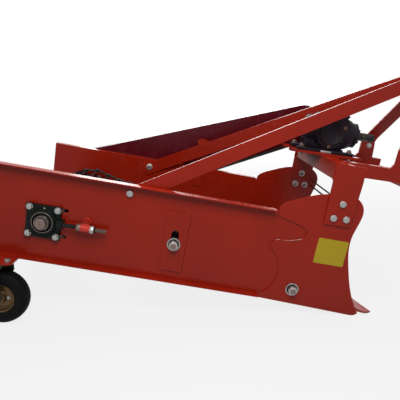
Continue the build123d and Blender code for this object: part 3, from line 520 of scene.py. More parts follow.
def solids_of(node):
    """Middles of the separate solids in a node."""
    copy = bpy.data.objects.new("solids", frame["nodes"][node].data.copy())
    bpy.context.collection.objects.link(copy)
    choose(copy)
    bpy.ops.object.mode_set(mode="EDIT")
    bpy.ops.mesh.select_all(action="SELECT")
    bpy.ops.mesh.remove_doubles(threshold=0.00001)
    bpy.ops.mesh.separate(type="LOOSE")
    bpy.ops.object.mode_set(mode="OBJECT")
    middles = []
    for piece in list(bpy.context.selected_objects):
        corners = [vertex.co for vertex in piece.data.vertices]
        middles.append(sum(corners, Vector()) / len(corners))
        bpy.data.objects.remove(piece)
    return middles


# -------- shapes
def cylinder(radius, depth, sides, base=0.0):
    """A cylinder standing on the base height."""
    deselect()
    bpy.ops.mesh.primitive_cylinder_add(vertices=sides, radius=radius, depth=depth,
                                        location=(0, 0, base + depth / 2))
    return settle(bpy.context.object)


def softened(piece, width, segments=2, angle=radians(35)):
    """Rounded edges, applied."""
    choose(piece)
    edge = piece.modifiers.new("edges", "BEVEL")
    edge.width, edge.segments, edge.angle_limit = width, segments, angle
    bpy.ops.object.modifier_apply(modifier=edge.name)
    return piece


def closed(points, fill="NOTHING"):
    """A closed line through the points, empty or filled."""
    deselect()
    bpy.ops.mesh.primitive_circle_add(vertices=len(points), radius=1, fill_type=fill)
    piece = bpy.context.object
    for vertex, point in zip(piece.data.vertices, points):
        vertex.co = point
    return piece


def spun(outline, steps):
    """A closed outline of (radius, height) turned once round the z axis."""
    piece = closed([(radius, 0, height) for radius, height in outline])
    with reshaping(piece):
        bpy.ops.mesh.spin(steps=steps, angle=2 * pi, center=(0, 0, 0), axis=(0, 0, 1))
        bpy.ops.mesh.select_all(action="SELECT")
        bpy.ops.mesh.remove_doubles(threshold=0.00002)
        bpy.ops.mesh.delete_loose(use_verts=True, use_edges=True, use_faces=False)
    return piece


def mirrored(half):
    """An outline of (radius, height) with its mirror image after it."""
    return half + [(radius, -height) for radius, height in reversed(half)]


def ring(hole, radius, low, high, round_off=0.0003):
    """A flat ring about the z axis with softened edges."""
    return spun([(hole, low), (radius - round_off, low), (radius, low + round_off),
                 (radius, high - round_off), (radius - round_off, high), (hole + round_off, high),
                 (hole, high - round_off)], 32)


def rounded_bar(core, radius, low, high, ease, steps):
    """A bar about the z axis from a core radius out, with eased rims."""
    return spun([(core, low), (radius - ease, low), (radius, low + ease), (radius, high - ease),
                 (radius - ease, high), (core, high)], steps)


def plug(radius, height, steps=20):
    """A round stud end with a chamfer, standing on z = 0."""
    return spun([(0, 0), (radius, 0), (radius, height * 0.75), (radius * 0.82, height),
                 (0, height)], steps)


def threaded(radius, length, pitch):
    """A threaded rod standing on z = 0, with a ring for each crest."""
    outline = [(0, 0), (radius * 0.82, 0)]
    for turn in range(int(length / pitch)):
        outline += [(radius, (turn + 0.5) * pitch), (radius * 0.86, (turn + 1) * pitch)]
    return spun(outline + [(radius * 0.8, length), (0, length)], 14)


def slab(length, width, thick, corner):
    """A flat plate with rounded corners, lying on z = 0."""
    deselect()
    bpy.ops.mesh.primitive_plane_add(size=1)
    piece = bpy.context.object
    piece.scale = (length, width, 1)
    with reshaping(settle(piece)):
        bpy.ops.mesh.bevel(offset=corner, segments=4, affect="VERTICES")
        bpy.ops.mesh.select_all(action="SELECT")
        bpy.ops.mesh.extrude_region_move(TRANSFORM_OT_translate={"value": (0, 0, thick)})
    return softened(piece, thick * 0.3, 1)


def block(low, high, edge):
    """A block with rounded edges between two corners."""
    low, high = Vector(low), Vector(high)
    deselect()
    bpy.ops.mesh.primitive_cube_add(size=1, location=(low + high) / 2, scale=high - low)
    return softened(settle(bpy.context.object), edge)


def profile(outline, start, thick):
    """A plate cut to an outline in x and z, from a start in y, with eased edges."""
    piece = closed([(x, start, z) for x, z in outline], "NGON")
    with reshaping(piece):
        bpy.ops.mesh.extrude_region_move(TRANSFORM_OT_translate={"value": (0, thick, 0)})
    return softened(piece, thick * 0.15, 1, radians(50))


TIP_THIN = 0.62                                      # share of a tooth's thickness at its tip


def toothed(teeth, root, rise, thick, taper):
    """A toothed disc about the z axis; its teeth narrow to the taper at their tips."""
    disc = cylinder(root, thick, teeth * 2, -thick / 2)
    step = pi / teeth
    with editing(disc, lambda face: abs(face.normal.z) < 0.5 and
                 round(atan2(face.normal.y, face.normal.x) / step - 0.5) % 2 == 0):
        bpy.ops.mesh.extrude_faces_move(TRANSFORM_OT_shrink_fatten={"value": rise})
    for vertex in disc.data.vertices:
        reach = hypot(vertex.co.x, vertex.co.y)
        if reach > root + rise / 4:
            angle = atan2(vertex.co.y, vertex.co.x)
            tooth = (round(angle / step - 0.5) + 0.5) * step
            angle = tooth + (angle - tooth) * taper
            vertex.co.x, vertex.co.y = reach * cos(angle), reach * sin(angle)
            vertex.co.z *= TIP_THIN
    return disc


def new_curve():
    """A curve object to be filled."""
    deselect()
    bpy.ops.curve.primitive_bezier_curve_add()
    return bpy.context.object


def solid_bar(curve, radius, sides):
    """The mesh of a round bar along a curve."""
    curve.data.bevel_depth, curve.data.bevel_resolution = radius, sides
    curve.data.use_fill_caps = True
    choose(curve)
    bpy.ops.object.convert(target="MESH")
    return bpy.context.object


def bent_bar(points, radius, bend):
    """A round bar through the points, with rounded bends."""
    points = [Vector(point) for point in points]
    knots = [(points[0], points[0], points[0].lerp(points[1], 0.3))]
    for before, corner, after in zip(points, points[1:], points[2:]):
        into, out = (corner - before).normalized(), (after - corner).normalized()
        start, end = corner - into * bend, corner + out * bend
        knots.append((start, start - into * bend * 0.5, start + into * bend * 0.55))
        knots.append((end, end - out * bend * 0.55, end + out * bend * 0.5))
    knots.append((points[-1], points[-1].lerp(points[-2], 0.3), points[-1]))
    bar = new_curve()
    spline = bar.data.splines[0]
    spline.bezier_points.add(len(knots) - 2)
    for knot, (place, left, right) in zip(spline.bezier_points, knots):
        knot.handle_left_type = knot.handle_right_type = "FREE"
        knot.co, knot.handle_left, knot.handle_right = place, left, right
    bar.data.resolution_u = 3
    return solid_bar(bar, radius, 3)


RIPPLE, CREST, TROUGH = 0.0028, 1.0, 0.74            # length and heights of a weld's ripples


def bead(points, radius, seed):
    """A weld bead along the points: a low rope of uneven ripples."""
    chance = Random(seed)
    points = [Vector(point) for point in points]
    places = []
    for start, end in zip(points, points[1:]):
        count = max(2, round((end - start).length / RIPPLE))
        places += [start.lerp(end, i / count) for i in range(count)]
    places.append(points[-1])
    rope = new_curve()
    rope.data.splines.clear()
    spline = rope.data.splines.new("POLY")
    spline.points.add(len(places) - 1)
    for i, (knot, place) in enumerate(zip(spline.points, places)):
        drift = Vector([chance.uniform(-1, 1) * radius * 0.22 for _ in range(3)])
        knot.co = (*(place + drift), 1)
        knot.radius = (CREST if i % 2 else TROUGH) * chance.uniform(0.85, 1.12)
    return solid_bar(rope, radius, 1)


def hex_head(radius, height, washer=None, washer_t=0.0, stud=None):
    """A hexagon head or nut on z = 0, on a washer and with a stud end if they are given."""
    parts, crown = [], height * 0.14
    if washer:
        parts.append(softened(cylinder(washer, washer_t, 28), washer_t * 0.25))
    head = cylinder(radius, height - crown, 6, washer_t)
    with editing(head, lambda face: face.normal.z > 0.9):
        bpy.ops.mesh.inset(thickness=radius * 0.08)
        bpy.ops.transform.translate(value=(0, 0, crown))
    parts.append(softened(head, radius * 0.03, 1))
    if stud:
        stud_r, length = stud
        end = cylinder(stud_r, length, 16, washer_t + height - crown)
        parts.append(softened(end, stud_r * 0.18, 1))
    return joined(parts, "head")


# -------- paint
class DIGGER_OT_paint(bpy.types.Operator):
    """Make the finishes and give every part of the frame its own"""
    bl_idname = "digger.paint"
    bl_label = "Paint the frame"

    def execute(self, context):
        tint = context.scene.digger_colours
        LOOKS.update({
            "red_paint": red_enamel("red_enamel", tint.enamel, tint.primer),
            # Maroon copy of the red enamel: painted shade for the chain cover's inside.
            "maroon_paint": red_enamel("maroon_enamel", tint.enamel_painted_shade, tint.primer),
            # Blade enamel: wear, plus painted highlight.
            "blade_steel": red_enamel("worn_enamel", tint.enamel_worn_and_highlit, tint.primer),
            # The weld red and the still lighter red below it: partly fresher paint, partly painted
            # highlight.
            "weld_red": weld_enamel("weld_enamel", tint.enamel_fresh_and_highlit, tint.primer),
            # Half again lighter than the weld red: painted highlight on the tension sleeves and
            # the stub welds, with fresher paint.
            "fresh_red_painted_highlight": red_enamel("fresh_enamel", shade(tint.enamel_fresh_and_highlit, 1.5), tint.primer),
            "black_paint": black_enamel("black_enamel", tint.black, tint.rust),
            "rusty_head": black_enamel("rusty_head", shade(tint.rust, 0.8), tint.rust),
            "worn_black": black_enamel("worn_black", shade(tint.rust, 0.12), tint.rust),
            # Yellow zinc darkened nearly to black: painted shade for the forks' shaded inner side.
            "dark_zinc": plated_steel("dark_zinc", (0.035, 0.035, 0.020), 0.4),
            "seal_black": moulded_rubber("seal_rubber", tint.rubber),
            "black_steel": rolled_steel("web_steel", tint.spring_steel),
            "brown_steel": rolled_steel("brown_steel", tint.turned_steel),
            "tyre_black": moulded_rubber("tyre_rubber", tint.rubber),
            "bright_steel": rolled_steel("machined_steel", (0.06, 0.06, 0.062)),
            "oiled_steel": rolled_steel("oiled_steel", (0.008, 0.008, 0.009)),
            "dull_steel": plated_steel("dull_steel", (0.30, 0.25, 0.22), 0.8),
            "zinc": plated_steel("zinc_plate", tint.zinc),
            "rusty_zinc": plated_steel("rusty_zinc", (0.20, 0.13, 0.11), 0.5),
            "shaft_face": plated_steel("shaft_face", (0.22, 0.15, 0.13), 0.3),
            "yellow_zinc": plated_steel("yellow_zinc", tint.passivated, 0.75),
            "bearing_green": green_casting("green_casting", tint.casting),
            "plate_yellow": yellow_film("yellow_plate", tint.plate),
            "beam_red": red_enamel("beam_enamel", tint.enamel, tint.primer, 0.04)})
        slots = {part["node"]: part["material_slot"] for part in frame["record"]["subparts"]}
        slots["cross_beam"] = "beam_red"
        for name, node in frame["nodes"].items():
            look = LOOKS[slots[name]]
            if node.material_slots:
                for place in node.material_slots:
                    place.material = look
            else:
                node.data.materials.append(look)
        return {"FINISHED"}


# -------- bolts of the frame
LEG_BOLTS = ((0.046, -0.141), (0.024, -0.197), (0.071, -0.196))      # along and above the head
POST_BOLT, POST_IN, POST_OUT = (0.297, 0.052), 0.180, 0.190          # the same, and its ends in y
BRACE_FOOT, BRACE_HEAD = (-0.336, 0.485), (0.837, 0.905)             # x and z of the bolts
BRACE_BAR, BRACKET_PLATE = 0.008, 0.006                              # thicknesses
BRACKET_BOLTS = ((-0.7045, 0.364), (-0.776, 0.364))                  # along the plate, and in y
HEAD_HEIGHT, NUT_HEIGHT, SMALL_HEIGHT = 0.0085, 0.009, 0.007
NUT_WASHER, NUT_WASHER_T = 1.15, 0.002               # share of the nut's radius; thickness
SMALL_WASHER, SMALL_WASHER_T = 1.2, 0.0016
BOLT_END, SMALL_END = (0.0075, 0.005), (0.0055, 0.003)     # radius and height past the nut


class DIGGER_OT_bolts(bpy.types.Operator):
    """Bolts and nuts of the legs, braces, mast and wheel brackets"""
    bl_idname = "digger.bolts"
    bl_label = "Bolts and nuts"

    def execute(self, context):
        sizes = context.scene.digger_fasteners
        heads, nuts, small_heads, small_nuts = [], [], [], []
        for side in SIDES.values():
            out, back = (0, side, 0), (0, -side, 0)
            for turn, (u, v) in enumerate(LEG_BOLTS):
                heads.append((on_head(u, v, side * LEG_OUT), out, 0.5 * turn + 0.2))
                nuts.append((on_head(u, v, side * PLATE_OUT), back, 0.3 * turn))
            x, z = BRACE_FOOT
            heads.append(((x, side * PLATE_OUT, z), out, 0.9))
            nuts.append(((x, side * (PLATE_IN - BRACE_BAR), z), back, 0.4))
            x, z = BRACE_HEAD
            heads.append(((x, side * (inner("brace_right") + BRACE_BAR), z), out, 0.1))
            small_heads.append((on_head(*POST_BOLT, side * POST_IN), back, 0.4))
            small_nuts.append((on_head(*POST_BOLT, side * POST_OUT), out, 0.1))
            for turn, (u, y) in enumerate(BRACKET_BOLTS):
                small_heads.append((on_plate(u, 0, side * y), UP_PLATE, 0.3 * turn))
                small_nuts.append((on_plate(u, -BRACKET_PLATE, side * y), -UP_PLATE, 0.2 * turn))
        large, small = sizes.leg_head, sizes.small_head
        ends = [(Vector(point) + Vector(way) * (NUT_HEIGHT + NUT_WASHER_T), way, turn)
                for point, way, turn in nuts]
        fasten("bolt_heads", hex_head(large, HEAD_HEIGHT), heads)
        fasten("bolt_nuts", hex_head(large, NUT_HEIGHT, large * NUT_WASHER, NUT_WASHER_T), nuts)
        fasten("bolt_ends", plug(*BOLT_END), ends, "black_steel", "brown_steel")
        fasten("small_bolt_heads",
               hex_head(small, SMALL_HEIGHT, small * SMALL_WASHER, SMALL_WASHER_T), small_heads)
        fasten("small_bolt_nuts", hex_head(small, SMALL_HEIGHT, stud=SMALL_END), small_nuts)
        return {"FINISHED"}


# -------- bearings of the drive shaft
CORNERS = ((-1, -1), (1, -1), (1, 1), (-1, 1))
BOLT_STEP, PAD, PAD_R = 0.051, 0.0012, 0.0165        # bolts from the shaft, and their pads
BEARING_HEAD, BEARING_NUT = (0.008, 1.14), (0.007, 0.0175)       # height; washer
BEARING_WASHER_T = 0.0025
SET_SCREWS, COLLAR_R, SCREW_OUT = (radians(66), radians(-54)), 0.0262, 0.3262
SET_SCREW = (0.0034, 0.0022, 12)
RIB_OUT, RIB = 0.058, (0.026, 0.007, 0.0065, 0.002)  # place on the diagonal; size and corners
NIPPLE_PLACE, NIPPLE_OUT, NIPPLE_LEAN = (0.003, 0.047), 0.3135, (0.9, 0.45)
LIP = (0.0372, 0.0388, 0.3232, 0.3250)
# Outlines of (radius, distance from the centre plane), or from the seat for the nipple.
SEAL = ((0.0262, 0.3160), (0.0378, 0.3160), (0.0376, 0.3185), (0.0340, 0.3196),
        (0.0300, 0.3188), (0.0272, 0.3206), (0.0262, 0.3200))
COLLAR = ((0.0201, 0.3165), (0.0264, 0.3165), (0.0268, 0.3175), (0.0268, 0.3328),
          (0.0258, 0.3346), (0.0246, 0.3346), (0.0238, 0.3338), (0.0216, 0.3338),
          (0.0201, 0.3344))
SHAFT_END = ((0, 0.3446), (0.0190, 0.3446), (0.0200, 0.3438), (0.0200, 0.3452),
             (0.0188, 0.3462), (0.0036, 0.3462), (0.0018, 0.3448), (0, 0.3448))
NIPPLE = ((0, 0), (0.0048, 0), (0.0048, 0.003), (0.0034, 0.0036), (0.0034, 0.0062),
          (0.0022, 0.0072), (0.0030, 0.0086), (0.0026, 0.0104), (0, 0.0108))


class DIGGER_OT_bearings(bpy.types.Operator):
    """Inserts, seals, bolts, ribs and grease nipples of the drive shaft's bearings"""
    bl_idname = "digger.bearings"
    bl_label = "Shaft bearings"

    def execute(self, context):
        shaft = centre("drive_shaft")
        u, w = plate_place(shaft)
        self.bolt(u, w, context.scene.digger_fasteners)
        self.fill(Vector((shaft.x, 0, shaft.z)), -LEFT)
        self.dress(u, w, -LEFT)
        return {"FINISHED"}

    def bolt(self, u, w, sizes):
        """Four bolts through each flange, on pads, with nuts inside the side plate."""
        heads, nuts, pads = [], [], []
        for side in SIDES.values():
            out, back = (0, side, 0), (0, -side, 0)
            for turn, (a, b) in enumerate(CORNERS):
                corner = on_plate(u + a * BOLT_STEP, w + b * BOLT_STEP, 0)
                pads.append((corner + LEFT * side * BEARING_FLANGE, out, 0))
                heads.append((corner + LEFT * side * (BEARING_FLANGE + PAD), out, 0.4 * turn))
                nuts.append((corner + LEFT * side * PLATE_IN, back, 0.3 * turn))
        radius, (height, share) = sizes.bearing_head, BEARING_HEAD
        fasten("bearing_pads", ring(0.004, PAD_R, -0.0005, PAD), pads, "bearing_green")
        fasten("bearing_bolts", hex_head(radius, height, radius * share, BEARING_WASHER_T), heads)
        # The nuts inside the side plate take the darker brown steel as painted shade, for the dark
        # inside of the machine.
        fasten("bearing_nuts", hex_head(radius, *BEARING_NUT, BEARING_WASHER_T), nuts,
               look="brown_steel")

    def fill(self, middle, out):
        """The insert that shows in the right bearing, and the end of the shaft in it."""
        at = upended(middle, out)
        for name, piece, slot, look in (
                ("bearing_lip", ring(*LIP), "bright_steel", "dull_steel"),
                ("bearing_seal", spun(SEAL, 40), "tyre_black", "seal_black"),
                ("bearing_collar", spun(COLLAR, 40), "bright_steel", "dull_steel"),
                ("shaft_end", spun(SHAFT_END, 40), "black_steel", "shaft_face")):
            placed(name, piece, at, slot, look)
        ways = [DOWN_PLATE * cos(angle) + UP_PLATE * sin(angle) for angle in SET_SCREWS]
        fasten("set_screws", plug(*SET_SCREW),
               [(middle + out * SCREW_OUT + way * COLLAR_R, way, 0) for way in ways])

    def dress(self, u, w, out):
        """A grease nipple on each bearing, and ribs on the corners of the right one."""
        ahead, above = NIPPLE_PLACE
        up, out_by = NIPPLE_LEAN
        nipples = [(on_plate(u + ahead, w + above, side * NIPPLE_OUT),
                    UP_PLATE * up + LEFT * side * out_by, 0) for side in SIDES.values()]
        fasten("grease_nipples", spun(NIPPLE, 14), nipples)
        turns = []
        for a, b in CORNERS:
            way = (DOWN_PLATE * a + UP_PLATE * b).normalized()
            across = out.cross(way)
            foot = on_plate(u, w, 0) + way * RIB_OUT + out * BEARING_FLANGE
            turns.append(Matrix.Translation(foot) @ Matrix((way, across, out)).transposed()
                         .to_4x4())
        fitted(copied(slab(*RIB), turns, "bearing_ribs"), "frame", "bearing_green")


# -------- tension screws
NUT_PLACES = (-0.4665, -0.4340)                      # faces of the sleeve along the side plate
TENSION_NUT, LOCK_RING = 0.0155, (0.0075, 0.0115, 0, 0.004)
SLEEVE_HOLE, SLEEVE_R, SLEEVE_STEP = 0.0090, 0.0144, 0.0006      # step: how far past its faces


class DIGGER_OT_tension(bpy.types.Operator):
    """Threaded tension screws with their nuts either side of the sleeve"""
    bl_idname = "digger.tension"
    bl_label = "Tension screws"

    def execute(self, context):
        low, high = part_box("tension_screw_right")
        radius = (high.y - low.y) / 2
        u, w = plate_place(centre("tension_screw_right"))
        long = (high.x - low.x - 2 * radius * sin(SIDE_SLOPE)) / cos(SIDE_SLOPE)
        start, axis = u - long / 2, outer("tension_screw_right") - radius
        rear, front = NUT_PLACES
        pitch = context.scene.digger_fasteners.thread_pitch
        threads = threaded(radius, rear - start, pitch)
        ends = threaded(radius, start + long - rear, pitch)
        tube = ring(SLEEVE_HOLE, SLEEVE_R, 0, front - rear + 2 * SLEEVE_STEP)
        nut, lock_nut = hex_head(TENSION_NUT, TENSION_NUT), hex_head(TENSION_NUT, TENSION_NUT)
        lock_ring = ring(*LOCK_RING)
        for name, master, at, way, turn, slot, look in (
                ("tension_threads", threads, start, 1, 0, "black_steel", "oiled_steel"),
                ("tension_thread_ends", ends, rear, 1, 0, "black_steel", "brown_steel"),
                ("tension_lock_nuts", lock_nut, rear, -1, 0.35, "zinc", "rusty_zinc"),
                ("tension_nuts", nut, front, 1, 0.35, "zinc", "zinc"),
                # The sleeves take the lighter red: painted highlight on their curved, lit faces,
                # with fresher paint.
                ("tension_sleeves", tube, rear - SLEEVE_STEP, 1, 0.35, "red_paint", "fresh_red_painted_highlight"),
                ("tension_lock_rings", lock_ring, front + TENSION_NUT, 1, 0.35, "tyre_black",
                 "seal_black")):
            places = [(on_plate(at, w, side * axis), DOWN_PLATE * way, turn)
                      for side in SIDES.values()]
            piece = fasten(name, master, places, slot, look)
            if name == "tension_threads":
                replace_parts(piece, "tension_screw_right", "tension_screw_left")
        return {"FINISHED"}


# -------- rollers
CARRIER_TIP, NOSE_TIP = 0.335, 0.331                 # how far the axles reach
AXLE_END, AXLE_TIP_R = 0.005, 0.0105                 # what stands out of the nut
# A dark disc in the washer's hole round the nut: painted shade of the recess there.
AXLE_WASHER, RECESS_SHADE = (0.0203, 0.0250, 0, 0.0022), (0.0100, 0.0204, 0, 0.0006)


class DIGGER_OT_rollers(bpy.types.Operator):
    """Nuts and turned ends of the carrier and nose rollers' axles"""
    bl_idname = "digger.rollers"
    bl_label = "Roller ends"

    def execute(self, context):
        sizes = context.scene.digger_fasteners
        for node, base, tip in (("carrier", outer("carrier_washer_right"), CARRIER_TIP),
                                ("nose", CHEEK_OUT, NOSE_TIP)):
            middle = centre(node + "_roller")
            places = [((middle.x, side * base, middle.z), (0, side, 0), 0.25)
                      for side in SIDES.values()]
            long = tip - base
            end = spun([(0, long - AXLE_END), (AXLE_TIP_R, long - AXLE_END),
                        (AXLE_TIP_R, long - 0.0015), (AXLE_TIP_R - 0.0013, long),
                        (0.003, long), (0, long - 0.001)], 24)
            for name, master, slot, look in (
                    ("_washers", ring(*AXLE_WASHER), "zinc", "zinc"),
                    # Dark discs round the nuts: painted shade in the washers' recesses.
                    ("_recesses", ring(*RECESS_SHADE), "black_paint", "seal_black"),
                    ("_nuts", hex_head(sizes.axle_nut, long - AXLE_END), "zinc", "zinc"),
                    ("_axle_ends", end, "black_steel", "shaft_face")):
                fasten(node + name, master, places, slot, look)
        return {"FINISHED"}


# -------- elevator web
WEB_BEND, WEB_STEP, ROD_RADIUS = 0.271, 0.0185, 0.0052     # a rod's half width and its step in
ROD_GAP, HOOK_RISE, HOOK_BEND = 0.0003, 0.010, 0.008
# How the loop hangs, in (place ahead of the drive shaft, shift): down, up and forward.
WEB_SAG = ((-0.10, -0.003), (-0.058, -0.024), (-0.030, -0.022), (0.007, -0.0175),
           (0.069, 0.0), (0.118, -0.009), (0.167, -0.016), (0.221, -0.014), (0.475, 0.0))
WEB_LIFT = ((-0.10, 0.002), (-0.03, 0.009), (0.05, 0.008), (0.30, 0.0))
WEB_TUCK = ((-0.105, 0.015), (-0.05, 0.008), (0.0, 0.0))
# The tube and the five toothed discs also fill with solid black the dark seen between the rods:
# partly the drum's own black, partly painted shade.
SHAFT_R, TUBE_CORE, DRUM_R, DRUM_HALF = 0.020, 0.018, 0.068, 0.235
HUB_WALL, HUB_HALF = 0.012, 0.022
DRUM_DISCS = (-0.245, -0.12, 0.0, 0.12, 0.245)
DISC, DISC_TURN = (11, 0.076, 0.016, 0.010, 0.7), -0.134   # teeth, root, rise, thickness, taper


class DIGGER_OT_web(bpy.types.Operator):
    """The elevator web, whose rods hook into one another, on its toothed drum"""
    bl_idname = "digger.web"
    bl_label = "Elevator web"

    def execute(self, context):
        drum = centre("drive_shaft")
        drum.y = 0
        middles = self.hanging(drum)
        onward = middles[1:] + middles[:1]
        link = sum((b - a).length for a, b in zip(middles, onward)) / len(middles)
        places = [along_loop(a, b) for a, b in zip(middles, onward)]
        web = fitted(copied(self.rod(link), places, "elevator_web"), "frame", "black_steel")
        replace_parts(web, "web_rods", "web_hooks_right", "web_hooks_left")
        shaft = moved(self.drum(), upended(drum, LEFT))
        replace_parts(fitted(shaft, "frame", "black_paint"), "drive_shaft")
        return {"FINISHED"}

    def hanging(self, drum):
        """Middles of the rods in their order round the loop, with its slack."""
        middles = solids_of("web_rods")
        hub = sum(middles, Vector()) / len(middles)
        middles.sort(key=lambda place: atan2(place.z - hub.z, place.x - hub.x))
        for place in middles:
            place.y = 0
            away = place - drum
            place.z += between(WEB_SAG if away.z > 0 else WEB_LIFT, away.x)
            place.x += between(WEB_TUCK, away.x)
        return middles

    def rod(self, link):
        """A rod across the web; its ends step in, run forward and close round the next rod."""
        seat = WEB_BEND - WEB_STEP
        lap = link + 2 * ROD_RADIUS + ROD_GAP
        climb = -(lap + 0.001) * 2 * ROD_RADIUS / link
        half = [(lap, seat, HOOK_RISE), (lap + 0.001, seat, climb), (0, WEB_BEND, 0)]
        points = [(x, -y, z) for x, y, z in half] + half[::-1]
        return bent_bar(points, ROD_RADIUS, HOOK_BEND)

    def drum(self):
        """The drive shaft about the z axis, with its tube and the toothed discs on their hubs."""
        low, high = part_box("drive_shaft")
        parts = [rounded_bar(0, SHAFT_R, low.y, high.y, 0.001, 32),
                 rounded_bar(TUBE_CORE, DRUM_R, -DRUM_HALF, DRUM_HALF, 0.002, 44)]
        for y in DRUM_DISCS:
            disc = softened(toothed(*DISC), 0.001, 1)
            parts.append(moved(disc, Matrix.Translation((0, 0, y)) @
                               Matrix.Rotation(DISC_TURN, 4, "Z")))
            parts.append(ring(SHAFT_R - 0.001, SHAFT_R + HUB_WALL, y - HUB_HALF, y + HUB_HALF,
                              0.001))
        return joined(parts, "web_drum")


# -------- chain drive
CHAIN_PITCH, FRONT_PITCH_R, REAR_PITCH_R = 0.01905, 0.062, 0.125
LINK_PLATE, LINK_ROLLER = 0.0014, 0.0036             # thickness, radius
TOOTH_ROOT, TOOTH_RISE, TOOTH_THICK, TOOTH_TAPER = 0.0045, 0.0078, 0.006, 0.42
BOSS_WALL, BOSS_HALF = 0.014, 0.011


def belt(circles):
    """Length of a belt over two circles (x, z, radius), and its point at a distance."""
    (x1, z1, r1), (x2, z2, r2) = circles
    gap = hypot(x2 - x1, z2 - z1)
    lean, wrap = atan2(z2 - z1, x2 - x1), acos((r1 - r2) / gap)
    run = sqrt(gap * gap - (r1 - r2) ** 2)
    big, small = r1 * (2 * pi - 2 * wrap), r2 * 2 * wrap

    def off(x, z, radius, angle, on=0.0):
        return (x + radius * cos(angle) - on * sin(angle),
                z + radius * sin(angle) + on * cos(angle))

    def point(distance):
        """Round the first circle, along a run, round the second one and back."""
        if distance < big:
            return off(x1, z1, r1, lean + wrap + distance / r1)
        if distance < big + run:
            return off(x1, z1, r1, lean - wrap, distance - big)
        if distance < big + run + small:
            return off(x2, z2, r2, lean - wrap + (distance - big - run) / r2)
        return off(x2, z2, r2, lean + wrap, distance - big - run - small)

    return big + small + 2 * run, point


class DIGGER_OT_chain(bpy.types.Operator):
    """Roller chain and toothed sprockets of the drive"""
    bl_idname = "digger.chain"
    bl_label = "Chain drive"

    def execute(self, context):
        front, rear = centre("sprocket_front"), centre("sprocket_rear")
        y = centre("drive_chain").y
        total, point = belt(((rear.x, rear.z, REAR_PITCH_R), (front.x, front.z, FRONT_PITCH_R)))
        count = 2 * round(total / CHAIN_PITCH / 2)
        pitch = total / count
        pins = [Vector((x, y, z)) for x, z in (point(i * pitch) for i in range(count))]
        places = [along_loop(a, b) for a, b in zip(pins, pins[1:] + pins[:1])]
        wide = copied(self.link(pitch, offset=0.0066, height=0.0052), places[1::2], "pins")
        narrow = copied(self.link(pitch, offset=0.0048, height=0.0056), places[::2], "rollers")
        chain = fitted(joined([narrow, wide], "roller_chain"), "frame", "black_steel")
        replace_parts(chain, "drive_chain")
        for tag, spot, radius, bore in (("front", front, FRONT_PITCH_R, 0.0150),
                                        ("rear", rear, REAR_PITCH_R, SHAFT_R)):
            teeth = round(2 * pi * radius / CHAIN_PITCH)
            disc = toothed(teeth, radius - TOOTH_ROOT, TOOTH_RISE, TOOTH_THICK, TOOTH_TAPER)
            boss = ring(bore, bore + BOSS_WALL, -BOSS_HALF, BOSS_HALF, 0.001)
            wheel = joined([disc, boss], "sprocket_teeth_" + tag)
            fitted(moved(wheel, upended((spot.x, y, spot.z), LEFT)), "frame", "black_paint")
            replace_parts(wheel, "sprocket_" + tag)
        return {"FINISHED"}

    def link(self, pitch, offset, height):
        """Two side plates with the rollers or pins between them; x runs along the chain."""
        parts = []
        upright = Matrix.Rotation(pi / 2, 4, "X")
        for side in SIDES.values():
            plate = moved(cylinder(height, LINK_PLATE, 8), upright)
            for vertex in plate.data.vertices:
                vertex.co.y += side * offset
                if vertex.co.x > 0:
                    vertex.co.x += pitch
            parts.append(plate)
        half = offset + LINK_PLATE - 0.0001
        for x in (0, pitch):
            barrel = cylinder(LINK_ROLLER, 2 * half, 6, -half)
            parts.append(moved(barrel, Matrix.Translation((x, 0, 0)) @ upright))
        return joined(parts, "link")


# -------- gearbox
COVER_BOLTS_R, COVER_BOLT, COVER_FACE = 0.056, radians(28), 0.0637
COVER_BACK = 0.010                                   # the right cover lies behind the left one
BROWN_BOLTS = (0, 4)
FLANGES = ((0.1063, 1, 0.0425), (-0.108, -1, 0.042))      # ahead, way they face, bolts' radius
FOOT_BOLTS, FOOT_Y = ((-0.080, 0.022), (0.118, 0.022)), 0.068
PLUGS, CASE_R = ((radians(53), -0.030), (radians(128), 0.030)), 0.0765    # angle and y of each
CASE_BOLT, FOOT_BOLT, FOOT_END = (0.0078, 0.005), (0.0105, 0.0075), (0.006, 0.005)
FOOT_NUT, FOOT_WASHER = (0.0105, 0.007), (0.013, 0.002)
# Outlines of (radius, distance along the axis).
CASE_DRUM = mirrored([(0, -0.058), (0.0700, -0.058), (0.0765, -0.0535), (0.0778, -0.047)])
CASE_SEAM = mirrored([(0.070, -0.004), (0.0800, -0.004), (0.0812, -0.003)])
CASE_COVER = [(0, 0.050), (0.0655, 0.050), (0.0655, 0.0620), (0.0640, 0.0637), (0.0492, 0.0641),
              (0.0478, 0.0686), (0.0462, 0.0697), (0.0450, 0.0686), (0.0440, 0.0678), (0, 0.0678)]
CASE_RING = [(0.0449, 0.0680), (0.0478, 0.0680), (0.0476, 0.0696), (0.0463, 0.0702),
             (0.0450, 0.0696)]
CASE_NECK = [(0, 0.020), (0.069, 0.020), (0.066, 0.058), (0.057, 0.080), (0.0485, 0.0905),
             (0.0500, 0.0925), (0.0500, 0.1040), (0.0485, 0.1060), (0.0330, 0.1065),
             (0.0300, 0.1085), (0.0245, 0.1100), (0.0235, 0.1135), (0.0170, 0.1135),
             (0.0170, 0.1080), (0, 0.1080)]
CASE_REAR = [(0, -0.1080), (0.0500, -0.1080), (0.0585, -0.1045), (0.0615, -0.0980),
             (0.0625, -0.0745), (0.0640, -0.0735), (0.0700, -0.0720), (0.0706, -0.0705),
             (0.0706, -0.0620), (0.0690, -0.0600), (0.0600, -0.0580), (0.0580, -0.0300),
             (0, -0.0300)]
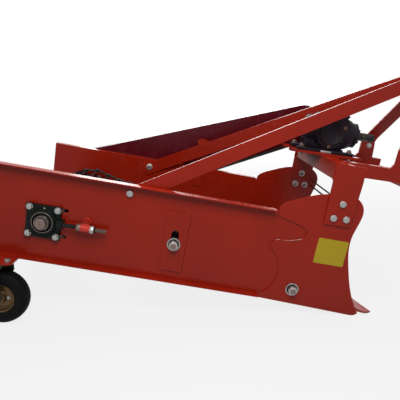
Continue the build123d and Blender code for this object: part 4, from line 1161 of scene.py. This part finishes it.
# The block under the case and its four feet: two corners on the head frame, and the easing.
CASE_BLOCKS = [((-0.062, -0.052, 0.018), (0.078, 0.052, 0.062), 0.007)] + [
    ((start, y, 0.010), (end, y + 0.040, 0.022), 0.0025)
    for start, end in ((-0.096, -0.002), (0.039, 0.134)) for y in (-0.085, 0.045)]
SHIM = ((-0.004, 0.047, 0.0103), (0.041, 0.0846, 0.0186), 0.0008)
FILLER = [(0, 0), (0.0090, 0), (0.0090, 0.006), (0.0062, 0.007), (0.0062, 0.014),
          (0.0072, 0.0155), (0.0072, 0.018), (0, 0.0185)]
INPUT_SEAL = [(0.0164, 0.1125), (0.0222, 0.1125), (0.0222, 0.1142), (0.0200, 0.1154),
              (0.0164, 0.1146)]
SHAFT_SEAT = [(0, 0.060), (0.0164, 0.060), (0.0164, 0.1262), (0.0156, 0.1275), (0, 0.1275)]
SPLINE_START, SPLINE_END, SPLINE_R, SPLINE_ROOT = 0.126, 0.188, 0.0174, 0.0144
SPLINE_CUTS = (0.0275, 0.026, 0.021, 0.0195, 0.003)       # rings of vertices, back from the end
SPLINE_GAP = (0.3, 0.75)                             # share of each sixth that is cut down
GROOVE, TIP, TIP_EASE = (0.0207, 0.0263), 0.0005, 0.0025


class DIGGER_OT_gearbox(bpy.types.Operator):
    """Case, covers, bolts, plugs and the splined input shaft of the gearbox"""
    bl_idname = "digger.gearbox"
    bl_label = "Gearbox"

    def execute(self, context):
        middle = centre("output_shaft")
        middle.y = 0
        bolts, browns = self.case(middle)
        for ahead, way, radius in FLANGES:
            spots = around(middle + ALONG_HEAD * ahead, LEFT, UP_HEAD, radius,
                           spread(6, pi / 6))
            bolts += [(spot, ALONG_HEAD * way, 0.2) for spot in spots]
        fasten("gearbox_bolts", hex_head(*CASE_BOLT), bolts, "black_paint")
        fasten("rusty_gearbox_bolts", hex_head(*CASE_BOLT), browns, "black_paint", "rusty_head")
        self.feet()
        ways = [(ALONG_HEAD * cos(angle) + UP_HEAD * sin(angle), y) for angle, y in PLUGS]
        fasten("gearbox_plugs", spun(FILLER, 18),
               [(middle + way * CASE_R + LEFT * y, way, 0) for way, y in ways], "black_paint")
        ahead = upended(middle, ALONG_HEAD)
        placed("input_seal", spun(INPUT_SEAL, 32), ahead, "black_paint", "seal_black")
        shaft = placed("splined_shaft", self.splined(), ahead, "bright_steel", "oiled_steel",
                       body="pto_input", smooth=radians(28))
        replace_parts(shaft, "input_shaft")
        return {"FINISHED"}

    def case(self, middle):
        """The cast case with a cover on each side; gives the places of the covers' bolts."""
        across, ahead = upended(middle, LEFT), upended(middle, ALONG_HEAD)
        parts = [moved(spun(outline, steps), at) for outline, steps, at in (
            (CASE_DRUM, 56, across), (CASE_SEAM, 56, across),
            (CASE_NECK, 40, ahead), (CASE_REAR, 48, ahead))]
        parts += [moved(block(*corners), HEAD_FRAME) for corners in CASE_BLOCKS]
        covers, browns, rings = [], [], []
        for side, back in zip(SIDES.values(), (COVER_BACK, 0)):
            spot = middle - ALONG_HEAD * back
            at = upended(spot, LEFT * side)
            parts.append(moved(spun(CASE_COVER, 48), at))
            rings.append(moved(spun(CASE_RING, 48), at))
            points = around(spot, ALONG_HEAD, UP_HEAD, COVER_BOLTS_R, spread(6, COVER_BOLT))
            for step, point in enumerate(points):
                place = (point + LEFT * side * COVER_FACE, (0, side, 0), 0.3 * step)
                (browns if step in BROWN_BOLTS else covers).append(place)
        whole = fitted(joined(parts, "gear_case"), "frame", "black_paint", smooth=radians(40))
        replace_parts(whole, "gearbox")
        fitted(joined(rings, "cover_edges"), "frame", "black_paint", "worn_black")
        return covers, browns

    def feet(self):
        """Bolts through the feet, and the bright shims under the middle of the case."""
        heads = [(on_head(u, v, side * FOOT_Y), UP_HEAD, 0.2)
                 for side in SIDES.values() for u, v in FOOT_BOLTS]
        nuts = [(on_head(u, 0, side * FOOT_Y), -UP_HEAD, 0.4)
                for side in SIDES.values() for u, v in FOOT_BOLTS]
        # The foot bolts take the darker rusty zinc: partly rust, partly painted shade where they
        # sit under the case.
        fasten("foot_bolts", hex_head(*FOOT_BOLT, *FOOT_WASHER, FOOT_END), heads,
               look="rusty_zinc")
        fasten("foot_nuts", hex_head(*FOOT_NUT, *FOOT_WASHER), nuts)
        low, high, _ = SHIM
        across = Matrix.Translation((0, -low[1] - high[1], 0))
        fitted(copied(moved(block(*SHIM), HEAD_FRAME), [Matrix(), across], "foot_shims"),
               "frame", "zinc")

    def splined(self):
        """The six-spline shaft about the z axis, with its locking groove."""
        body = cylinder(SPLINE_R, SPLINE_END - SPLINE_START, 6 * 8, SPLINE_START)
        for vertex in body.data.vertices:
            part = (atan2(vertex.co.y, vertex.co.x) / (pi / 3)) % 1
            if SPLINE_GAP[0] < part < SPLINE_GAP[1]:
                vertex.co.x *= SPLINE_ROOT / SPLINE_R
                vertex.co.y *= SPLINE_ROOT / SPLINE_R
        choose(body)
        bpy.ops.object.mode_set(mode="EDIT")
        for cut in SPLINE_CUTS:
            bpy.ops.mesh.select_all(action="SELECT")
            bpy.ops.mesh.bisect(plane_co=(0, 0, SPLINE_END - cut), plane_no=(0, 0, 1))
        bpy.ops.object.mode_set(mode="OBJECT")
        for vertex in body.data.vertices:
            from_end, reach = SPLINE_END - vertex.co.z, hypot(vertex.co.x, vertex.co.y)
            limit = reach
            if GROOVE[0] < from_end < GROOVE[1]:
                limit = min(reach, SPLINE_ROOT)
            elif from_end < TIP:
                limit = min(reach, SPLINE_R - TIP_EASE)
            vertex.co.x, vertex.co.y = vertex.co.x * limit / reach, vertex.co.y * limit / reach
        return joined([body, spun(SHAFT_SEAT, 36)], "shaft")


# -------- wheels and forks
RIM_BOLTS_R, RIM_BOLT, RIM_DISC = 0.0310, radians(-3), 0.0125
RIM_BOLT_HEAD = (0.0056, 0.004, 0.0066, 0.001)
RIM_FRONT = [(0.0081, 0.0275), (0.0150, 0.0275), (0.0200, 0.0262), (0.0214, 0.0230),
             (0.0222, 0.0160), (0.0250, 0.0125), (0.0400, 0.0125), (0.0440, 0.0105),
             (0.0470, 0.0115), (0.0490, 0.0160)]
RIM_EDGE = [(0.0505, 0.0205), (0.0530, 0.0232), (0.0565, 0.0238), (0.0570, 0.0222),
            (0.0548, 0.0206), (0.0540, 0.0120)]
RIM_BACK = [(0.0490, -0.0140), (0.0470, 0.0060), (0.0440, 0.0072), (0.0250, 0.0088),
            (0.0222, 0.0060), (0.0214, -0.0230), (0.0200, -0.0262), (0.0150, -0.0275),
            (0.0081, -0.0275)]
RIM_OUTLINE = RIM_FRONT + mirrored(RIM_EDGE) + RIM_BACK
TYRE_WALL = [(0.0570, 0.0190), (0.0585, 0.0228), (0.0612, 0.0250), (0.0640, 0.0246),
             (0.0668, 0.0262), (0.0760, 0.0279), (0.0850, 0.0280), (0.0920, 0.0266),
             (0.0960, 0.0244), (0.0985, 0.0218), (0.0990, 0.0205)]
TYRE_R, TREAD_HALF, TREAD_DROP, GROOVE_R = 0.104, 0.0190, 0.0032, 0.1006
RIBS, RIB_STEP, RIB_WIDTH = 4, 0.0100, 0.0080


class DIGGER_OT_wheels(bpy.types.Operator):
    """Ribbed tyres on pressed rims, with the rims' bolts"""
    bl_idname = "digger.wheels"
    bl_label = "Wheels"

    def execute(self, context):
        for tag, side in SIDES.items():
            body, at = "wheel_" + tag, upended(centre("rim_" + tag), (0, side, 0))
            tyre = placed("ribbed_tyre_" + tag, spun(self.tyre_outline(), 72), at, "tyre_black",
                          body=body)
            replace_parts(tyre, "tyre_" + tag)
            rim = placed("pressed_rim_" + tag, spun(RIM_OUTLINE, 48), at, "yellow_zinc", body=body)
            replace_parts(rim, "rim_" + tag)
            spots = around(Vector((0, 0, RIM_DISC)), Vector((1, 0, 0)), Vector((0, 1, 0)),
                           RIM_BOLTS_R, spread(3, RIM_BOLT))
            bolts = stamped(hex_head(*RIM_BOLT_HEAD),
                            [(spot, (0, 0, 1), 0.3) for spot in spots], "rim_bolts_" + tag)
            fitted(moved(bolts, at), body, "zinc")
        return {"FINISHED"}

    def tyre_outline(self):
        """Outline of the tyre's section: beads, side walls and the ribs of a crowned tread."""
        tread = []
        for rib in range(RIBS):
            start = TREAD_HALF - rib * RIB_STEP
            for h in (start, start - RIB_WIDTH):
                tread.append((TYRE_R - TREAD_DROP * (h / TREAD_HALF) ** 2, h))
            if rib < RIBS - 1:
                tread += [(GROOVE_R, start - RIB_WIDTH - step) for step in (0.0004, 0.0016)]
        return TYRE_WALL + tread + [(r, -h) for r, h in reversed(TYRE_WALL)]


FORK_PLATE, FORK_END_R, CROWN_T = 0.005, 0.0150, 0.0065
FORK_FOOT = (-0.785, -0.709)                         # rear and front along the side plate
FRONT_INNER, FRONT_OUTER = (0.194, 0.158), 0.212     # heights where the front edges turn
REAR_TURN, REAR_TOP, REAR_OUT = 0.196, 0.236, 0.0190      # and the rear edge, from the axle


class DIGGER_OT_forks(bpy.types.Operator):
    """Narrow forks that carry the wheels under their brackets"""
    bl_idname = "digger.forks"
    bl_label = "Wheel forks"

    def execute(self, context):
        outlines = self.outlines(centre("rim_right"))
        low, high = inner("wheel_fork_right"), outer("wheel_fork_right") - FORK_PLATE
        for tag, side in SIDES.items():
            parts = [profile(outline, min(side * y, side * (y + FORK_PLATE)), FORK_PLATE)
                     for outline, y in zip(outlines, (low, high))]
            first, last = sorted((side * low, side * (high + FORK_PLATE)))
            crown = block((FORK_FOOT[0], first, -BRACKET_PLATE - CROWN_T),
                          (FORK_FOOT[1] - 0.002, last, -BRACKET_PLATE), 0.0012)
            parts.append(moved(crown, PLATE_FRAME))
            # The forks take the zinc darkened nearly to black: painted shade for their shaded
            # inner side.
            fork = fitted(joined(parts, "narrow_fork_" + tag), "frame", "yellow_zinc", "dark_zinc")
            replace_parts(fork, "wheel_fork_" + tag)
        return {"FINISHED"}

    def outlines(self, axle):
        """The inner plate, whose front edge stands upright, and the outer one, as (x, z)."""
        rear, front = [on_plate(u, -BRACKET_PLATE, 0) for u in FORK_FOOT]
        end = axle.x + FORK_END_R
        upright, knee = FRONT_INNER
        fronts = [[(front.x, front.z), (front.x, upright), (end, knee)],
                  [(front.x - 0.002, front.z), (end, FRONT_OUTER)]]
        boss = around(Vector((axle.x, 0, axle.z)), Vector((1, 0, 0)), Vector((0, 0, 1)),
                      FORK_END_R, [radians(angle) for angle in range(10, -191, -25)])
        back = [(axle.x - REAR_OUT, REAR_TURN), (rear.x, REAR_TOP)]
        return [[(rear.x, rear.z)] + edge + [(point.x, point.z) for point in boss] + back
                for edge in fronts]


# -------- blank plate
SIGN_PLACE = (0.458, 0.216)                          # its middle along and up the side plate
SIGN = (0.1140, 0.0995, 0.0007, 0.0045)              # length, height, thickness, corners


class DIGGER_OT_plates(bpy.types.Operator):
    """The blank yellow plate on the right cheek"""
    bl_idname = "digger.plates"
    bl_label = "Blank plate"

    def execute(self, context):
        across = Matrix(((DOWN_PLATE.x, UP_PLATE.x, 0), (0, 0, -1), (DOWN_PLATE.z, UP_PLATE.z, 0)))
        at = Matrix.Translation(on_plate(*SIGN_PLACE, -CHEEK_OUT)) @ across.to_4x4()
        placed("blank_plate", slab(*SIGN), at, "red_paint", "plate_yellow")
        return {"FINISHED"}


# -------- weld beads
# Group, thickness, distance from the centre plane, then points along and up the side plate.
PLATE_SEAMS = (
    ("weld_beads", 0.0021, PLATE_OUT + 0.0012,                    # rear edge of the cheek
     ((0.242, 0.010), (0.253, 0.025), (0.266, 0.040), (0.2765, 0.064), (0.283, 0.095),
      (0.282, 0.128))),
    ("bare_weld_beads", 0.0030, PLATE_OUT + 0.0035,               # notch in the cheek
     ((0.244, 0.2270), (0.258, 0.2315), (0.275, 0.2300), (0.297, 0.2340), (0.319, 0.2400),
      (0.342, 0.2475))),
    ("weld_beads", 0.0013, PLATE_OUT + 0.0006,                    # doubler plate
     ((-0.163, 0.043), (-0.163, 0.270), (-0.079, 0.272), (-0.079, 0.043), (-0.163, 0.043))),
    ("weld_beads", 0.0042, PLATE_OUT + 0.0020,                    # lower corner of the joint
     ((0.2215, 0.0045), (0.227, -0.003), (0.2325, -0.0100))),
    ("weld_beads", 0.0020, PLATE_OUT - 0.0006,                    # upper edge, from inside
     ((0.233, 0.333), (0.277, 0.3306), (0.330, 0.3267), (0.396, 0.3225))))
# Thickness, distance from the centre plane, then points along and above the head frame.
HEAD_SEAMS = ((0.0026, CHEEK_OUT, ((-0.005, -0.062), (-0.005, 0.0))),
              (0.0030, 0.1915, ((0.255, 0.0), (0.325, 0.0))),
              (0.0030, 0.1785, ((0.255, 0.0), (0.325, 0.0))),
              (0.0030, 0.165, ((0.061, -0.002), (0.061, -0.049))),
              (0.0030, 0.205, ((0.061, -0.002), (0.061, -0.049))))
# Welds of the sleeve that the tension screw runs through, ahead of and above the drive shaft.
STUB, STUB_R, STUB_OUT, STUB_BEAD = (0.157, 0.022), 0.0150, PLATE_OUT + 0.0015, 0.0024
SADDLE = ((0.145, 0.0190, 0.322), (0.152, 0.0205, 0.326), (0.162, 0.0205, 0.326),
          (0.170, 0.0190, 0.322))


class DIGGER_OT_welds(bpy.types.Operator):
    """Weld beads where the enamelled plates and tubes meet"""
    bl_idname = "digger.welds"
    bl_label = "Weld beads"

    def execute(self, context):
        beads = {"weld_beads": [], "bare_weld_beads": [], "stub_beads": []}
        seams = [seam for side in SIDES.values() for seam in self.seams(side)]
        for seed, (group, thick, line) in enumerate(seams, 1):
            beads[group].append(bead(line, thick, seed))
        # The stub beads take the lighter red: painted highlight, with fresher paint.
        for (name, ropes), look in zip(beads.items(), ("red_paint", "weld_red", "fresh_red_painted_highlight")):
            fitted(joined(ropes, name), "frame", "red_paint", look, radians(60))
        return {"FINISHED"}

    def seams(self, side):
        """Group, thickness and points of each bead on one side, in a fixed order."""
        seams = [(group, thick, [on_plate(u, w, side * y) for u, w in line])
                 for group, thick, y, line in PLATE_SEAMS]
        seams += [("weld_beads", thick, [on_head(u, v, side * y) for u, v in line])
                  for thick, y, line in HEAD_SEAMS]
        u, w = plate_place(centre("drive_shaft"))
        foot = around(on_plate(u + STUB[0], w + STUB[1], side * STUB_OUT), DOWN_PLATE, UP_PLATE,
                      STUB_R, [radians(angle) for angle in range(-20, 201, 20)])
        saddle = [on_plate(u + ahead, w + above, side * y) for ahead, above, y in SADDLE]
        return seams + [("stub_beads", STUB_BEAD, line) for line in (foot, saddle)]


# -------- stage
# Name, its power in the settings, size, place and the point that it faces.
LAMPS = (("key", "key", (1.0, 0.8), (-0.05, -1.3, 1.6), (0, -0.2, 0.35)),
         ("overhead", "overhead", (2.6, 2.2), (0.1, 0.4, 3.0), (0, 0, 0.4)),
         ("back_strip", "back", (2.85, 0.7), (0.22, 2.5, 1.25), (0.05, 0, 0.55)))
WHITE, FLOOR_GREY = (1, 1, 1, 1), (0.45, 0.45, 0.45)
FLOOR_SIZE, NEAR_GLOW, WHITE_FROM, WHITE_SOFT = 60, 0.82, 2.6, 1.4      # metres, and a share
SENSOR = 36.0                                        # width in millimetres


class DIGGER_OT_stage(bpy.types.Operator):
    """Camera, lamps, sky and a pale floor"""
    bl_idname = "digger.stage"
    bl_label = "Set the stage"

    def execute(self, context):
        scene, setup = context.scene, context.scene.digger_stage
        deselect()
        bpy.ops.object.camera_add(location=setup.eye, rotation=(pi / 2 - setup.dip, 0, 0))
        camera = context.object
        camera.data.lens, camera.data.sensor_width = setup.lens, SENSOR
        scene.camera = camera
        for name, power, size, place, aim in LAMPS:
            deselect()
            bpy.ops.object.light_add(type="AREA", location=place)
            lamp = context.object
            lamp.name, lamp.visible_camera = name, False
            lamp.data.shape, lamp.data.energy = "RECTANGLE", getattr(setup, power)
            lamp.data.size, lamp.data.size_y = size
            way = Vector(aim) - Vector(place)
            lamp.rotation_euler = way.to_track_quat("-Z", "Y").to_euler()
        deselect()
        bpy.ops.mesh.primitive_plane_add(size=FLOOR_SIZE, location=(0, 0, 0))
        floor = context.object
        floor.name = "floor"
        floor.data.materials.append(self.floor_finish())
        world = bpy.data.worlds.new("studio")
        world.use_nodes = True
        scene.world = world
        self.fill_sky(Look(world.node_tree, "ShaderNodeOutputWorld"), setup.sky)
        scene.view_settings.view_transform = "Standard"
        return {"FINISHED"}

    def floor_finish(self):
        """White where the floor is far off, and pale with the machine's shadow near it."""
        look = Finish("pale_floor")
        look.surface(colour=FLOOR_GREY, rough=0.9, specular=0.0)
        away = look.node("ShaderNodeVectorMath", {"operation": "LENGTH"}, {0: look.place}, "Value")
        glow = look.node("ShaderNodeEmission", {}, {"Color": WHITE, "Strength": 1.0})
        far = away.above(WHITE_FROM, WHITE_SOFT) * (1 - NEAR_GLOW) + NEAR_GLOW
        plain = Mask(look, look.shader.outputs[0])
        look.finish(look.node("ShaderNodeMixShader", {},
                              {0: look.background_ray() * far, 1: plain, 2: glow}))
        return look.material

    def fill_sky(self, sky, strength):
        """Soft light on the machine, and plain white where the sky itself is seen."""
        soft = sky.node("ShaderNodeBackground", {}, {"Color": WHITE, "Strength": strength})
        plain = sky.node("ShaderNodeBackground", {}, {"Color": WHITE, "Strength": 1.0})
        sky.finish(sky.node("ShaderNodeMixShader", {},
                            {0: sky.background_ray(), 1: soft, 2: plain}))


# -------- panel and registration
STEPS = ("paint", "bolts", "bearings", "tension", "rollers", "web", "chain", "gearbox", "wheels",
         "forks", "plates", "welds", "stage")


class DIGGER_PT_panel(bpy.types.Panel):
    """The digger's making, step by step"""
    bl_label = "Digger"
    bl_idname = "DIGGER_PT_panel"
    bl_space_type = "VIEW_3D"
    bl_region_type = "UI"
    bl_category = "Digger"

    def draw(self, context):
        for group in (context.scene.digger_colours, context.scene.digger_fasteners,
                      context.scene.digger_stage):
            box = self.layout.box()
            for name in group.bl_rna.properties.keys():
                if name not in {"rna_type", "name"}:
                    box.prop(group, name)
        for step in STEPS:
            self.layout.operator("digger." + step)


GROUPS = (("digger_colours", DiggerColours), ("digger_fasteners", DiggerFasteners),
          ("digger_stage", DiggerStage))
CLASSES = (DiggerColours, DiggerFasteners, DiggerStage, DIGGER_OT_paint, DIGGER_OT_bolts,
           DIGGER_OT_bearings, DIGGER_OT_tension, DIGGER_OT_rollers, DIGGER_OT_web,
           DIGGER_OT_chain, DIGGER_OT_gearbox, DIGGER_OT_wheels, DIGGER_OT_forks,
           DIGGER_OT_plates, DIGGER_OT_welds, DIGGER_OT_stage, DIGGER_PT_panel)


def register():
    for cls in CLASSES:
        bpy.utils.register_class(cls)
    for name, group in GROUPS:
        setattr(bpy.types.Scene, name, PointerProperty(type=group))


def unregister():
    for name, group in GROUPS:
        delattr(bpy.types.Scene, name)
    for cls in reversed(CLASSES):
        bpy.utils.unregister_class(cls)


def main():
    register()
    for step in STEPS:
        getattr(bpy.ops.digger, step)()


if __name__ == "__main__":
    main()
